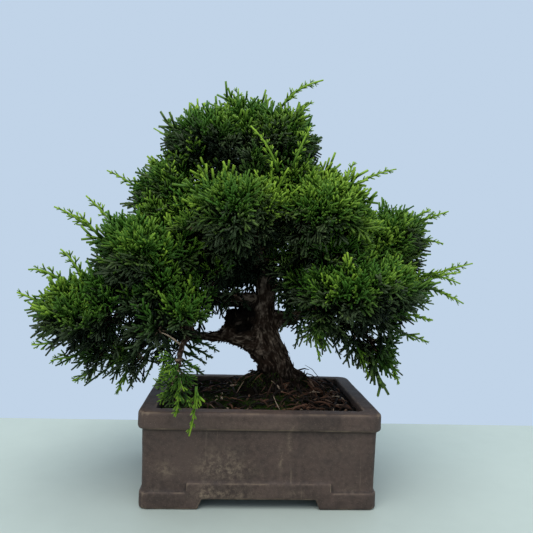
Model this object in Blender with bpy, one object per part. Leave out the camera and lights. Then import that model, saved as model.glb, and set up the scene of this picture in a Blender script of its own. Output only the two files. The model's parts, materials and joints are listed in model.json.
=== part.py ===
"""A juniper bonsai in an unglazed stoneware pot.

Metres, +Z up. The origin is on the surface the pot stands on, under the middle of the whole
plant, and +Y points away from the tree's front. The pot is a fired shell on four corner feet,
with two drain holes behind plastic mesh. The soil fills it, the trunk is rooted in the soil,
the limbs leave the trunk, and each limb carries a pad of foliage.
"""

import math

import bmesh
import bpy
from mathutils import Matrix, Vector, noise

# ---------------------------------------------------------------- driving sizes, in metres
MM = 0.001

POT_LENGTH = 0.200  # over the lip, along X
POT_WIDTH = 0.150  # over the lip, along Y
POT_HEIGHT = 0.079  # surface to rim
POT_CORNER = 0.005  # radius of the upright corners
LIP_HEIGHT = 0.0145
LIP_PROUD = 0.0036  # how far the lip stands out from the wall below it
LIP_ROUND = 0.0022
WALL = 0.0095  # at the rim, inside the lip
WALL_DRAFT = 0.0025  # how much the cavity narrows on each side by its floor
BODY_DRAFT = 0.0010  # how much the outside narrows on each side by its base
FLOOR = 0.0070
FOOT_PROUD = 0.0022  # how far the foot band stands out from the wall above it
FOOT_HEIGHT = 0.0140  # the foot's own height, to the ridge above it
FOOT_LENGTH = 0.0445  # a foot along the long side
FOOT_SIDE = 0.0360  # a foot along the short side
FOOT_THICK = 0.0120  # the foot's L-shaped wall, seen from below
FOOT_ROUND = 0.0016
ARCH_HEIGHT = 0.0085  # the gap between the feet
ARCH_SLANT = 0.0065  # how far a foot's inner end leans
APRON_HEIGHT = 0.0135  # the band above the gap
APRON_REACH = 0.0060  # how far that band runs past the gap on each side
UNDER_HEIGHT = 0.0105  # the hollow under the floor
DRAIN_RADIUS = 0.0100
DRAIN_OFFSET = 0.0480  # each drain hole from the middle, along X
WIRE_HOLE_RADIUS = 0.0022
WIRE_HOLE_OFFSET = 0.0400  # each wire hole from the middle, along Y

MESH_SIDE = 0.0300  # square drain screen
MESH_THICK = 0.0010
MESH_HOLES = 4  # holes along a side
MESH_BAR = 0.0020

SOIL_DROP = 0.0040  # soil below the rim, along the wall
MOUND_HEIGHT = 0.0170  # soil's rise at the trunk
MOUND_SPREAD = 0.0340
SOIL_GRID = 0.0110  # size of a facet of the soil's surface

CANOPY_WIDTH = 0.4140  # tip to tip along X
CANOPY_DEPTH = 0.2600  # along Y
TREE_HEIGHT = 0.3050  # rim to highest tip
TRUNK_RADIUS = 0.0165  # just above the roots
ROOT_RADIUS = 0.0065
ROOT_COUNT = 7
STUB_RADIUS = 0.0125  # the dead stub on the trunk's left
STUB_PLACE = (-9, -2, 22.8)  # its middle, in the same hundredths as the limbs below
LIMB_RADIUS = 0.0050  # a thick limb where it leaves the trunk
SHOOT_RADIUS = 0.0011

CLEAR = 0.0004  # gap between neighbours that touch
PAD_GAP = 0.0010  # gap between neighbouring foliage pads

RIM = POT_HEIGHT
FLOOR_TOP = UNDER_HEIGHT + FLOOR
BODY_LENGTH = POT_LENGTH - 2 * LIP_PROUD
BODY_WIDTH = POT_WIDTH - 2 * LIP_PROUD
CAVITY_LENGTH = POT_LENGTH - 2 * (LIP_PROUD + WALL)
CAVITY_WIDTH = POT_WIDTH - 2 * (LIP_PROUD + WALL)
FOOT_SPAN_X = BODY_LENGTH - 2 * BODY_DRAFT + 2 * FOOT_PROUD
FOOT_SPAN_Y = BODY_WIDTH - 2 * BODY_DRAFT + 2 * FOOT_PROUD

# ---------------------------------------------------------------- the tree
# Places on the tree are hundredths of the half width (x), the half depth (y) and the
# height above the rim (z). A limb's last number at each point is its radius, in
# hundredths of the trunk's radius for the trunk and of LIMB_RADIUS for the limbs.
TRUNK = [
    (13, 4, -6, 104),
    (12, 4, 3, 98),
    (9.5, 3, 10, 86),
    (5.5, 3, 15.5, 82),
    (2, 3, 20.5, 76),
    (1.5, 4, 25.5, 64),
    (2.5, 5, 31.5, 60),
    (2.5, 6, 38, 54),
    (0, 6, 48, 46),
    (-3, 6, 58, 38),
    (-6, 6, 68, 29),
    (-7, 7, 76, 20),
]
LIMBS = {
    "left_low": [(0, 3, 18.5, 210), (-9, 0, 17.7, 190), (-16, -3, 17.5, 110), (-25, -9, 17.8, 72),
                 (-43, -22, 19, 62), (-60, -29, 22.5, 52), (-73, -30, 25, 40)],
    "left_mid": [(-25, -9, 17.8, 36), (-34, -28, 21.5, 60), (-42, -42, 24, 44)],
    "left_droop": [(-43, -22, 19, 34), (-54, -23, 14, 50), (-66, -20, 9, 34)],
    "front_hang": [(-25, -9, 17.8, 34), (-30, -40, 19.5, 52), (-32, -70, 17, 40), (-32.5, -80, 12, 30)],
    "left_upper": [(2, 4, 29.5, 110), (-9, 0, 29.5, 92), (-28, -8, 30.5, 76), (-50, -32, 40, 45)],
    "shoulder_left": [(1.5, 5, 42, 90), (-15, 3, 48, 74), (-34, -2, 54, 56), (-45, -4, 59, 40)],
    "front_centre": [(1, 5, 40, 90), (-3, -20, 46, 70), (-10, -38, 52, 45)],
    "inner": [(2.5, 5, 34, 80), (-8, 16, 35.5, 64), (-18, 23, 37, 42)],
    "right_low": [(2, 4, 24.5, 116), (14.5, 0, 24, 104), (25, -12, 26.5, 80), (37, -36, 30, 45)],
    "right_droop": [(25, -12, 26.5, 42), (38, -20, 22.5, 58), (50, -23, 18, 36)],
    "centre_droop": [(25, -12, 26.5, 38), (23, -28, 25, 48), (23, -38, 22.5, 34)],
    "right_upper": [(1, 6, 45, 90), (10, -5, 47.5, 72), (23, -24, 52, 45)],
    "right_far": [(2.5, 6, 37, 100), (20, 8, 40, 84), (41, 11, 44.5, 64), (58, 12, 48, 42)],
    "crown_left": [(-5.5, 6, 66, 80), (-14, 5, 72, 62), (-23, 4, 77, 42)],
    "back_left": [(2, 6, 36, 95), (-14, 36, 41, 76), (-34, 56, 44.5, 45)],
    "back_left_low": [(0.5, 4, 27.5, 95), (-22, 24, 27, 78), (-52, 38, 28, 45)],
    "back_right": [(1.5, 6, 41, 95), (16, 34, 44, 76), (32, 56, 47, 45)],
    "back_right_low": [(2.5, 5, 32, 95), (12.5, 8, 33, 86), (24, 14, 31.8, 74), (47, 40, 32, 45)],
    "back_centre": [(-2, 6, 54, 85), (-1, 28, 57, 68), (0, 46, 59.5, 42)],
}  # fmt: skip
# Pads of foliage: middle x, y, z and half sizes x, y, z, in the same hundredths.
PADS = {
    "crown_left": (-28, 4, 78, 24, 41, 13),
    "crown_right": (5, 11, 78.5, 26, 46, 16.5),
    "shoulder_left": (-48, -3, 61.5, 18.5, 36, 11.5),
    "front_centre": (-13.5, -42, 56, 21.5, 38, 14.5),
    "right_upper": (26, -27, 53, 22, 43, 14),
    "right_far": (63, 12, 49.5, 18.5, 38, 13),
    "right_low": (39.5, -38, 32, 27.5, 40, 12),
    "right_droop": (53, -23, 16, 17, 32, 9),
    "centre_droop": (23.5, -38, 21, 9, 19, 8.5),
    "left_upper": (-54, -35, 42, 21, 41, 13.5),
    "left_far": (-77, -31, 26, 20.5, 39, 11.5),
    "left_mid": (-43, -46, 24.5, 21, 36, 9.5),
    "left_droop": (-70, -19, 9, 19, 27, 7),
    "inner": (-21, 24, 37.5, 17.5, 31, 10),
    "back_left": (-38, 62, 45, 23, 34, 13),
    "back_left_low": (-58, 42, 29, 21, 36, 11),
    "back_right": (37, 62, 48, 24, 34, 13.5),
    "back_right_low": (52, 44, 32, 23, 38, 12),
    "back_centre": (0, 54, 61, 24, 40, 14),
}
# The spray that hangs over the front of the pot keeps its place by the lip: x in
# hundredths, then its stand-off from the lip, its height above the rim and half sizes.
HANG_X = -32.5
HANG_OFF = 0.0300
HANG_RISE = 0.0270
HANG_HALF = (0.0190, 0.0230, 0.0270)
# Long extension shoots: the points of each, in hundredths as above.
SHOOTS = {
    "apex": [(16, 8, 90), (20, 8, 95.5), (26, 8, 100)],
    "crown_tip": [(-13, 4, 89), (-13.5, 4, 93), (-12.5, 4, 96)],
    "right_long": [(74, 4, 41), (88, 2, 42.5), (100, 0, 43)],
    "right_high": [(72, 8, 56), (82, 6, 60), (89, 5, 61.5)],
    "left_long": [(-88, -31, 28), (-96, -31, 28.5), (-100, -31, 30)],
    "left_high": [(-70, -31, 47), (-79, -27, 51), (-86, -25, 52)],
}

MOSS = {  # middle x, y and half sizes x, y, thickness, in metres
    "moss_left": (-0.042, -0.018, 0.030, 0.026, 0.0030),
    "moss_front": (0.004, -0.040, 0.024, 0.014, 0.0028),
    "moss_right": (0.060, 0.018, 0.018, 0.024, 0.0026),
}
TWIGS = {  # fallen twigs on the soil: ends x, y, then radius, in metres
    "fallen_twig_front": ((0.018, -0.052), (0.056, -0.044), 0.0011),
    "fallen_twig_right": ((0.050, -0.030), (0.078, -0.010), 0.0012),
    "fallen_twig_left": ((-0.078, -0.050), (-0.052, -0.056), 0.0010),
}

PARTS = "Juniper_bonsai"
CUTTERS = "Cutters"


# ---------------------------------------------------------------- scene helpers
def clear_scene():
    for obj in list(bpy.data.objects):
        bpy.data.objects.remove(obj)


def collection(name):
    found = bpy.data.collections.get(name)
    if found is None:
        found = bpy.data.collections.new(name)
        bpy.context.scene.collection.children.link(found)
    return found


def material(name, colour, roughness, metallic=0.0):
    found = bpy.data.materials.get(name)
    if found is None:
        found = bpy.data.materials.new(name)
        found.use_nodes = True
        shader = found.node_tree.nodes["Principled BSDF"]
        shader.inputs["Base Color"].default_value = (*colour, 1.0)
        shader.inputs["Roughness"].default_value = roughness
        shader.inputs["Metallic"].default_value = metallic
    return found


def stoneware():
    return material("stoneware", (0.115, 0.088, 0.070), 0.78)


def bark():
    return material("bark", (0.105, 0.068, 0.048), 0.90)


def foliage_green():
    return material("foliage_green", (0.055, 0.135, 0.035), 0.60)


def soil_brown():
    return material("soil_brown", (0.040, 0.028, 0.020), 0.95)


def moss_green():
    return material("moss_green", (0.060, 0.080, 0.020), 0.95)


def screen_plastic():
    return material("screen_plastic", (0.020, 0.022, 0.020), 0.50)


def dead_twig():
    return material("dead_twig", (0.160, 0.085, 0.055), 0.90)


def object_from(bm, name, where=PARTS, finish=None):
    """An object with this bmesh, in the parts or the cutters collection."""
    bmesh.ops.recalc_face_normals(bm, faces=bm.faces)
    mesh = bpy.data.meshes.new(name)
    bm.to_mesh(mesh)
    bm.free()
    obj = bpy.data.objects.new(name, mesh)
    collection(where).objects.link(obj)
    if finish is not None:
        mesh.materials.append(finish)
    if where == CUTTERS:
        obj.hide_render = True
        obj.display_type = "WIRE"
    return obj


def corners(obj):
    points = [vertex.co for vertex in obj.data.vertices]
    low = Vector(min(point[i] for point in points) for i in range(3))
    high = Vector(max(point[i] for point in points) for i in range(3))
    return low, high


def boxes_meet(a, b):
    (low_a, high_a), (low_b, high_b) = corners(a), corners(b)
    return all(low_a[i] < high_b[i] and low_b[i] < high_a[i] for i in range(3))


def boolean(target, tool, operation):
    step = target.modifiers.new(operation.title(), "BOOLEAN")
    step.operation = operation
    step.solver = "EXACT"
    step.object = tool


def carve(target, tools):
    """Cuts each tool that comes near the target out of it."""
    for tool in tools:
        if boxes_meet(target, tool):
            boolean(target, tool, "DIFFERENCE")


def join(target, tools):
    for tool in tools:
        boolean(target, tool, "UNION")


def smooth(obj, angle=40):
    obj.data.shade_smooth()
    obj.data.set_sharp_from_angle(angle=math.radians(angle))


# ---------------------------------------------------------------- solid shapes
def block(length, width, low, high, corner=0.0, draft=0.0, edge_round=0.0):
    """A bmesh block round the Z axis. draft narrows its foot, corner rounds its upright
    edges, and edge_round its top and bottom ones."""
    bm = bmesh.new()
    bmesh.ops.create_cube(bm, size=1.0)
    for vertex in bm.verts:
        inward = draft if vertex.co.z < 0 else 0.0
        vertex.co.x *= length - 2 * inward
        vertex.co.y *= width - 2 * inward
        vertex.co.z = low if vertex.co.z < 0 else high
    if corner:
        upright = [edge for edge in bm.edges if abs(edge.verts[0].co.z - edge.verts[1].co.z) > MM]
        bmesh.ops.bevel(bm, geom=upright, offset=corner, segments=3, profile=0.5,
                        affect="EDGES", material=-1)  # fmt: skip
    if edge_round:
        level = [edge for edge in bm.edges if abs(edge.verts[0].co.z - edge.verts[1].co.z) < MM / 10
                 and len(edge.link_faces) == 2
                 and abs(edge.link_faces[0].normal.z) + abs(edge.link_faces[1].normal.z) > 0.5]  # fmt: skip
        bmesh.ops.bevel(bm, geom=level, offset=edge_round, segments=2, profile=0.5,
                        affect="EDGES", material=-1)  # fmt: skip
    return bm


def cylinder(name, x, y, low, high, radius, where=CUTTERS):
    bm = bmesh.new()
    middle = Matrix.Translation((x, y, (low + high) / 2))
    bmesh.ops.create_cone(bm, cap_ends=True, segments=20, radius1=radius, radius2=radius,
                          depth=high - low, matrix=middle)  # fmt: skip
    return object_from(bm, name, where)


def tube(name, points, radii, where=PARTS, grow=0.0, finish=None, sides=2, steps=3):
    """A tapered round limb through these points, as a closed mesh. grow makes it larger
    all round, for the room it needs in its neighbours."""
    points = [Vector(point) for point in points]
    points[0] += (points[0] - points[1]).normalized() * grow
    points[-1] += (points[-1] - points[-2]).normalized() * grow
    curve = bpy.data.curves.new(name, "CURVE")
    curve.dimensions = "3D"
    curve.bevel_depth = 1.0
    curve.bevel_resolution = sides
    curve.use_fill_caps = True
    curve.resolution_u = steps
    spline = curve.splines.new("BEZIER")
    spline.bezier_points.add(len(points) - 1)
    for knot, point, radius in zip(spline.bezier_points, points, radii):
        knot.co = point
        knot.radius = radius + grow
        knot.handle_left_type = "AUTO"
        knot.handle_right_type = "AUTO"
    guide = bpy.data.objects.new(name + "_guide", curve)
    bpy.context.scene.collection.objects.link(guide)
    bpy.context.view_layer.update()
    graph = bpy.context.evaluated_depsgraph_get()
    mesh = bpy.data.meshes.new_from_object(guide.evaluated_get(graph))
    bpy.data.objects.remove(guide)
    bm = bmesh.new()
    bm.from_mesh(mesh)
    bpy.data.meshes.remove(mesh)
    bmesh.ops.remove_doubles(bm, verts=bm.verts, dist=MM / 100)
    return object_from(bm, name, where, finish)


def soil_height(x, y):
    """The soil's surface: level by the walls, with a mound that the trunk stands on."""
    foot = place(*TRUNK[1][:3])
    reach = ((x - foot.x) ** 2 + (y - foot.y) ** 2) / MOUND_SPREAD**2
    lumps = noise.noise(Vector((x, y, 0.0)) * 55.0) * SOIL_DROP / 4
    return RIM - SOIL_DROP + MOUND_HEIGHT * math.exp(-reach) + lumps


def ground(name, lift, where=CUTTERS):
    """Everything under the soil's surface, raised by lift: a cutter for what lies on it."""
    bm = bmesh.new()
    spread_x, spread_y = POT_LENGTH * 0.75, POT_WIDTH * 0.75
    bmesh.ops.create_grid(bm, size=1.0, x_segments=round(2 * spread_x / SOIL_GRID),
                          y_segments=round(2 * spread_y / SOIL_GRID))  # fmt: skip
    for vertex in bm.verts:
        x, y = vertex.co.x * spread_x, vertex.co.y * spread_y
        vertex.co = (x, y, soil_height(x, y) + lift)
    skirt = bmesh.ops.extrude_face_region(bm, geom=bm.faces[:])["geom"]
    for item in skirt:
        if isinstance(item, bmesh.types.BMVert):
            item.co.z = 0.0
    bmesh.ops.triangulate(bm, faces=bm.faces[:])  # the same facets in every copy
    return object_from(bm, name, where)


# ---------------------------------------------------------------- the pot
def pot_cavity(name, shrink=0.0, top=POT_HEIGHT * 1.5, where=CUTTERS, finish=None):
    """The hollow that holds the soil. shrink makes what fits in it."""
    rise = top - FLOOR_TOP
    wider = WALL_DRAFT * (top - RIM) / (RIM - FLOOR_TOP)  # the draft carried on past the rim
    bm = block(
        CAVITY_LENGTH + 2 * wider - 2 * shrink,
        CAVITY_WIDTH + 2 * wider - 2 * shrink,
        FLOOR_TOP + shrink,
        FLOOR_TOP + rise,
        corner=POT_CORNER,
        draft=WALL_DRAFT + wider,
    )
    return object_from(bm, name, where, finish)


def arch(name, foot_span, foot_length, across):
    """The cutter for the gap between two feet. across is the axis that it passes along."""
    bm = bmesh.new()
    bmesh.ops.create_cube(bm, size=1.0)
    half = foot_span / 2 - foot_length
    through = max(POT_LENGTH, POT_WIDTH)
    for vertex in bm.verts:
        top = vertex.co.z > 0
        side = math.copysign(half - (ARCH_SLANT if top else 0.0), vertex.co.x)
        vertex.co = (side, vertex.co.y * 2 * through, ARCH_HEIGHT if top else -ARCH_HEIGHT)
    if across == "X":
        bmesh.ops.rotate(bm, verts=bm.verts, matrix=Matrix.Rotation(math.radians(90), 3, "Z"))
    return object_from(bm, name, CUTTERS)


def make_pot():
    """The fired shell: a drafted body with a lip, four feet joined by an apron, a cavity,
    a hollow under the floor, drain holes and wire holes."""
    body = block(BODY_LENGTH, BODY_WIDTH, MM, RIM - LIP_HEIGHT / 2, POT_CORNER, BODY_DRAFT)
    pot = object_from(body, "pot", PARTS, stoneware())
    lip = object_from(
        block(POT_LENGTH, POT_WIDTH, RIM - LIP_HEIGHT, RIM, POT_CORNER + LIP_PROUD, 0.0, LIP_ROUND),
        "lip_form",
        CUTTERS,
    )
    feet = object_from(
        block(FOOT_SPAN_X, FOOT_SPAN_Y, 0.0, FOOT_HEIGHT, POT_CORNER + FOOT_PROUD, 0.0, FOOT_ROUND),
        "feet_form",
        CUTTERS,
    )
    gap_x = FOOT_SPAN_X - 2 * FOOT_LENGTH
    gap_y = FOOT_SPAN_Y - 2 * FOOT_SIDE
    apron_top = ARCH_HEIGHT + APRON_HEIGHT
    long_apron = object_from(
        block(gap_x + 2 * APRON_REACH, FOOT_SPAN_Y, MM, apron_top, 0.0, 0.0, FOOT_ROUND),
        "long_apron_form",
        CUTTERS,
    )
    short_apron = object_from(
        block(FOOT_SPAN_X, gap_y + 2 * APRON_REACH, MM, apron_top, 0.0, 0.0, FOOT_ROUND),
        "short_apron_form",
        CUTTERS,
    )
    join(pot, [lip, feet, long_apron, short_apron])
    hollow = object_from(
        block(FOOT_SPAN_X - 2 * FOOT_THICK, FOOT_SPAN_Y - 2 * FOOT_THICK, -MM, UNDER_HEIGHT,
              POT_CORNER),
        "under_hollow",
        CUTTERS,
    )  # fmt: skip
    cutters = [
        pot_cavity("cavity"),
        hollow,
        arch("long_side_arch", FOOT_SPAN_X, FOOT_LENGTH, "Y"),
        arch("short_side_arch", FOOT_SPAN_Y, FOOT_SIDE, "X"),
    ]
    low, high = UNDER_HEIGHT - FLOOR, FLOOR_TOP + FLOOR
    for side in (-1, 1):
        cutters.append(cylinder(f"drain_{side}", side * DRAIN_OFFSET, 0, low, high, DRAIN_RADIUS))
        cutters.append(
            cylinder(f"wire_hole_{side}", 0, side * WIRE_HOLE_OFFSET, low, high, WIRE_HOLE_RADIUS)
        )
    for cutter in cutters:
        boolean(pot, cutter, "DIFFERENCE")
    smooth(pot)
    return pot


def make_screen(name, x):
    """A square of plastic mesh on the floor over one drain hole."""
    bottom = FLOOR_TOP + CLEAR
    bm = block(MESH_SIDE, MESH_SIDE, bottom, bottom + MESH_THICK)
    bmesh.ops.translate(bm, verts=bm.verts, vec=(x, 0, 0))
    screen = object_from(bm, name, PARTS, screen_plastic())
    pitch = MESH_SIDE / MESH_HOLES
    punches = bmesh.new()
    for row in range(MESH_HOLES):
        for column in range(MESH_HOLES):
            at = Vector((x, 0, bottom + MESH_THICK / 2))
            at.x += (column - (MESH_HOLES - 1) / 2) * pitch
            at.y += (row - (MESH_HOLES - 1) / 2) * pitch
            size = pitch - MESH_BAR
            shape = Matrix.Translation(at) @ Matrix.Diagonal((size, size, 4 * MESH_THICK, 1))
            bmesh.ops.create_cube(punches, size=1.0, matrix=shape)
    boolean(screen, object_from(punches, name + "_punches", CUTTERS), "DIFFERENCE")
    return screen


def screen_room(name, x):
    """The space a screen takes up in the soil."""
    side = MESH_SIDE + 2 * CLEAR
    bm = block(side, side, FLOOR_TOP - CLEAR, FLOOR_TOP + MESH_THICK + 2 * CLEAR)
    bmesh.ops.translate(bm, verts=bm.verts, vec=(x, 0, 0))
    return object_from(bm, name, CUTTERS)


# ---------------------------------------------------------------- the tree
def place(x, y, z):
    """A point on the tree from hundredths of its half width, half depth and height."""
    return Vector((x * CANOPY_WIDTH / 200, y * CANOPY_DEPTH / 200, RIM + z * TREE_HEIGHT / 100))


def limb_shape(name, rows, unit, where, grow=0.0, finish=None, sides=2):
    points = [place(*row[:3]) for row in rows]
    radii = [row[3] / 100 * unit for row in rows]
    return tube(name, points, radii, where, grow, finish, sides)


def root_rows():
    """Surface roots fan out from the trunk's foot and dive into the soil."""
    foot = place(*TRUNK[1][:3])
    for index in range(ROOT_COUNT):
        turn = 2 * math.pi * (index + 0.35 * math.sin(index * 2.1)) / ROOT_COUNT
        reach = TRUNK_RADIUS * (2.3 + 0.45 * math.cos(index * 1.7))
        way = Vector((math.cos(turn), math.sin(turn), 0.0))
        points = []
        for part, sink in ((0.10, -0.35), (0.55, 0.15), (1.0, 0.75)):
            at = foot + way * reach * part
            level = soil_height(at.x, at.y)
            points.append(Vector((at.x, at.y, level - sink * ROOT_RADIUS)))
        yield f"root_{index}", points


def root_shape(name, points, where, grow=0.0):
    radii = [share * ROOT_RADIUS for share in (1.25, 0.85, 0.40)]
    return tube(name, points, radii, where, grow)


def stub_shape(name, where, grow=0.0):
    """The blunt dead stub on the left of the trunk."""
    bm = bmesh.new()
    bmesh.ops.create_icosphere(bm, subdivisions=2, radius=1.0)
    middle = place(*STUB_PLACE)
    for vertex in bm.verts:
        lump = 1 + 0.12 * noise.noise(vertex.co * 2.3)
        size = Vector((STUB_RADIUS * 1.15, STUB_RADIUS * 0.95, STUB_RADIUS * 0.9))
        vertex.co = middle + Vector(vertex.co[i] * (size[i] * lump + grow) for i in range(3))
    return object_from(bm, name, where)


def make_trunk():
    """The trunk in one piece with its surface roots and the dead stub. Returns it with
    the grown copies that make room for it in its neighbours."""
    trunk = limb_shape("trunk", TRUNK, TRUNK_RADIUS, PARTS, 0.0, bark(), sides=3)
    room = [limb_shape("trunk_room", TRUNK, TRUNK_RADIUS, CUTTERS, CLEAR, None, sides=3)]
    pieces = [stub_shape("stub_form", CUTTERS)]
    room.append(stub_shape("stub_room", CUTTERS, CLEAR))
    for name, points in root_rows():
        pieces.append(root_shape(name + "_form", points, CUTTERS))
        room.append(root_shape(name + "_room", points, CUTTERS, CLEAR))
    join(trunk, pieces)
    smooth(trunk)
    return trunk, room


def make_limbs(trunk_room):
    """Each limb starts inside the trunk or an earlier limb, and is cut back to clear it."""
    limbs, rooms = [], []
    for name, rows in LIMBS.items():
        limb = limb_shape("limb_" + name, rows, LIMB_RADIUS, PARTS, 0.0, bark())
        carve(limb, trunk_room + rooms)
        smooth(limb)
        limbs.append(limb)
        rooms.append(limb_shape(f"limb_{name}_room", rows, LIMB_RADIUS, CUTTERS, CLEAR))
    return limbs, rooms


def pad_frame(name):
    """Middle and half sizes of a pad of foliage, in metres."""
    if name == "front_hang":
        x = place(HANG_X, 0, 0).x
        return Vector((x, -POT_WIDTH / 2 - HANG_OFF, RIM + HANG_RISE)), Vector(HANG_HALF)
    x, y, z, half_x, half_y, half_z = PADS[name]
    size = place(half_x, half_y, half_z) - Vector((0, 0, RIM))
    return place(x, y, z), size


def pad_shape(name, where, grow=0.0, finish=None, label=None):
    """A lumpy cushion with a flatter underside."""
    middle, size = pad_frame(name)
    bm = bmesh.new()
    bmesh.ops.create_icosphere(bm, subdivisions=2, radius=1.0)
    for vertex in bm.verts:
        way = vertex.co.copy()
        lump = 1 + 0.10 * noise.noise(way * 1.9 + middle * 40)
        flat = 0.80 if way.z < 0 else 1.0
        reach = Vector((size.x * lump, size.y * lump, size.z * lump * flat))
        vertex.co = middle + Vector(way[i] * (reach[i] + grow) for i in range(3))
    return object_from(bm, label or "foliage_" + name, where, finish)


def make_pads(woody_room, pot_room):
    """Foliage pads, each cut to clear the wood inside it and the pads made before it."""
    pads, rooms = [], []
    for name in [*PADS, "front_hang"]:
        pad = pad_shape(name, PARTS, 0.0, foliage_green())
        carve(pad, woody_room + rooms + pot_room)
        smooth(pad, 60)
        pads.append(pad)
        rooms.append(pad_shape(name, CUTTERS, PAD_GAP, None, f"{name}_room"))
    return pads, rooms


def make_shoots(rooms):
    """Long shoots that run out past the pads. Each starts in a pad and is cut to clear it."""
    shoots = []
    for name, rows in SHOOTS.items():
        points = [place(*row) for row in rows]
        radii = [SHOOT_RADIUS * share for share in (1.3, 1.0, 0.5)]
        shoot = tube("shoot_" + name, points, radii, PARTS, 0.0, foliage_green(), 1, 4)
        carve(shoot, rooms)
        shoots.append(shoot)
    return shoots


# ---------------------------------------------------------------- soil and what is on it
def make_soil(room):
    soil = pot_cavity("soil", CLEAR, top=RIM + MOUND_HEIGHT * 2, where=PARTS, finish=soil_brown())
    boolean(soil, ground("soil_surface", 0.0), "INTERSECT")
    carve(soil, room)
    smooth(soil, 50)
    return soil


def make_moss(name, x, y, half_x, half_y, thick, rooms):
    """A low cushion that follows the soil under it."""
    bm = bmesh.new()
    bmesh.ops.create_uvsphere(bm, u_segments=16, v_segments=8, radius=1.0)
    for vertex in bm.verts:
        at = Vector((x + vertex.co.x * half_x, y + vertex.co.y * half_y))
        vertex.co = (at.x, at.y, soil_height(at.x, at.y) + vertex.co.z * thick)
    moss = object_from(bm, name, PARTS, moss_green())
    carve(moss, rooms)
    smooth(moss, 60)
    return moss


def twig_shape(name, start, end, radius, where=PARTS, grow=0.0, finish=None):
    """A dry twig that lies on the soil or on the moss."""
    points = []
    for share in (0.0, 0.5, 1.0):
        x = start[0] + (end[0] - start[0]) * share
        y = start[1] + (end[1] - start[1]) * share
        rest = soil_height(x, y) + CLEAR + 1.15 * radius
        points.append(Vector((x, y, rest)))
    points[1] += Vector((0, radius, radius))
    return tube(name, points, [radius] * 3, where, grow, finish, sides=1, steps=4)


def make_ground_cover(trunk_room):
    """Moss patches, and dry twigs that lie between and over them."""
    lifted = ground("ground_room", CLEAR)
    twigs, twig_rooms = [], []
    for name, (start, end, radius) in TWIGS.items():
        twig = twig_shape(name, start, end, radius, PARTS, 0.0, dead_twig())
        carve(twig, [lifted, *trunk_room])
        twigs.append(twig)
        twig_rooms.append(twig_shape(name + "_room", start, end, radius, CUTTERS, CLEAR))
    moss = [
        make_moss(name, *sizes, [lifted, *trunk_room, *twig_rooms]) for name, sizes in MOSS.items()
    ]
    return twigs + moss


# ---------------------------------------------------------------- the whole
def main():
    clear_scene()
    pot = make_pot()
    screens, screen_rooms = [], []
    for side, label in ((-1, "left"), (1, "right")):
        x = side * DRAIN_OFFSET
        screens.append(make_screen(f"drain_screen_{label}", x))
        screen_rooms.append(screen_room(f"screen_room_{label}", x))
    trunk, trunk_room = make_trunk()
    limbs, limb_rooms = make_limbs(trunk_room)
    pot_room = object_from(
        block(POT_LENGTH + 2 * CLEAR, POT_WIDTH + 2 * CLEAR, 0.0, RIM + CLEAR), "pot_room", CUTTERS
    )
    pads, pad_rooms = make_pads(trunk_room + limb_rooms, [pot_room])
    shoots = make_shoots(pad_rooms + limb_rooms + trunk_room)
    soil = make_soil(trunk_room + screen_rooms)
    cover = make_ground_cover(trunk_room)
    gather([pot, soil, trunk, *screens, *limbs, *pads, *shoots, *cover])


def gather(pieces):
    """Parents every piece to one empty, moved so that the whole stands over the origin."""
    whole = bpy.data.objects.new("bonsai", None)
    collection(PARTS).objects.link(whole)
    bpy.context.view_layer.update()
    graph = bpy.context.evaluated_depsgraph_get()
    points = []
    for piece in pieces:
        piece.parent = whole
        points += [vertex.co.copy() for vertex in piece.evaluated_get(graph).data.vertices]
    for cutter in collection(CUTTERS).objects:
        cutter.parent = whole
    for axis in (0, 1):
        low = min(point[axis] for point in points)
        high = max(point[axis] for point in points)
        whole.location[axis] = -(low + high) / 2
    bpy.context.view_layer.update()


main()
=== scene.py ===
"""Looks for a juniper bonsai in an unglazed stoneware pot.

The frame gives every piece its place. Foliage grows from each pad of the frame in tufts of
sprigs, twigs join the tufts to the limbs, and the wood, pot, soil and moss are finer copies
of the frame's solids. Metres, +Z up, +Y away from the front.
"""

import json
import math
import random
import bmesh
import bpy
from mathutils import Matrix, Quaternion, Vector, noise
from mathutils.bvhtree import BVHTree

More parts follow.
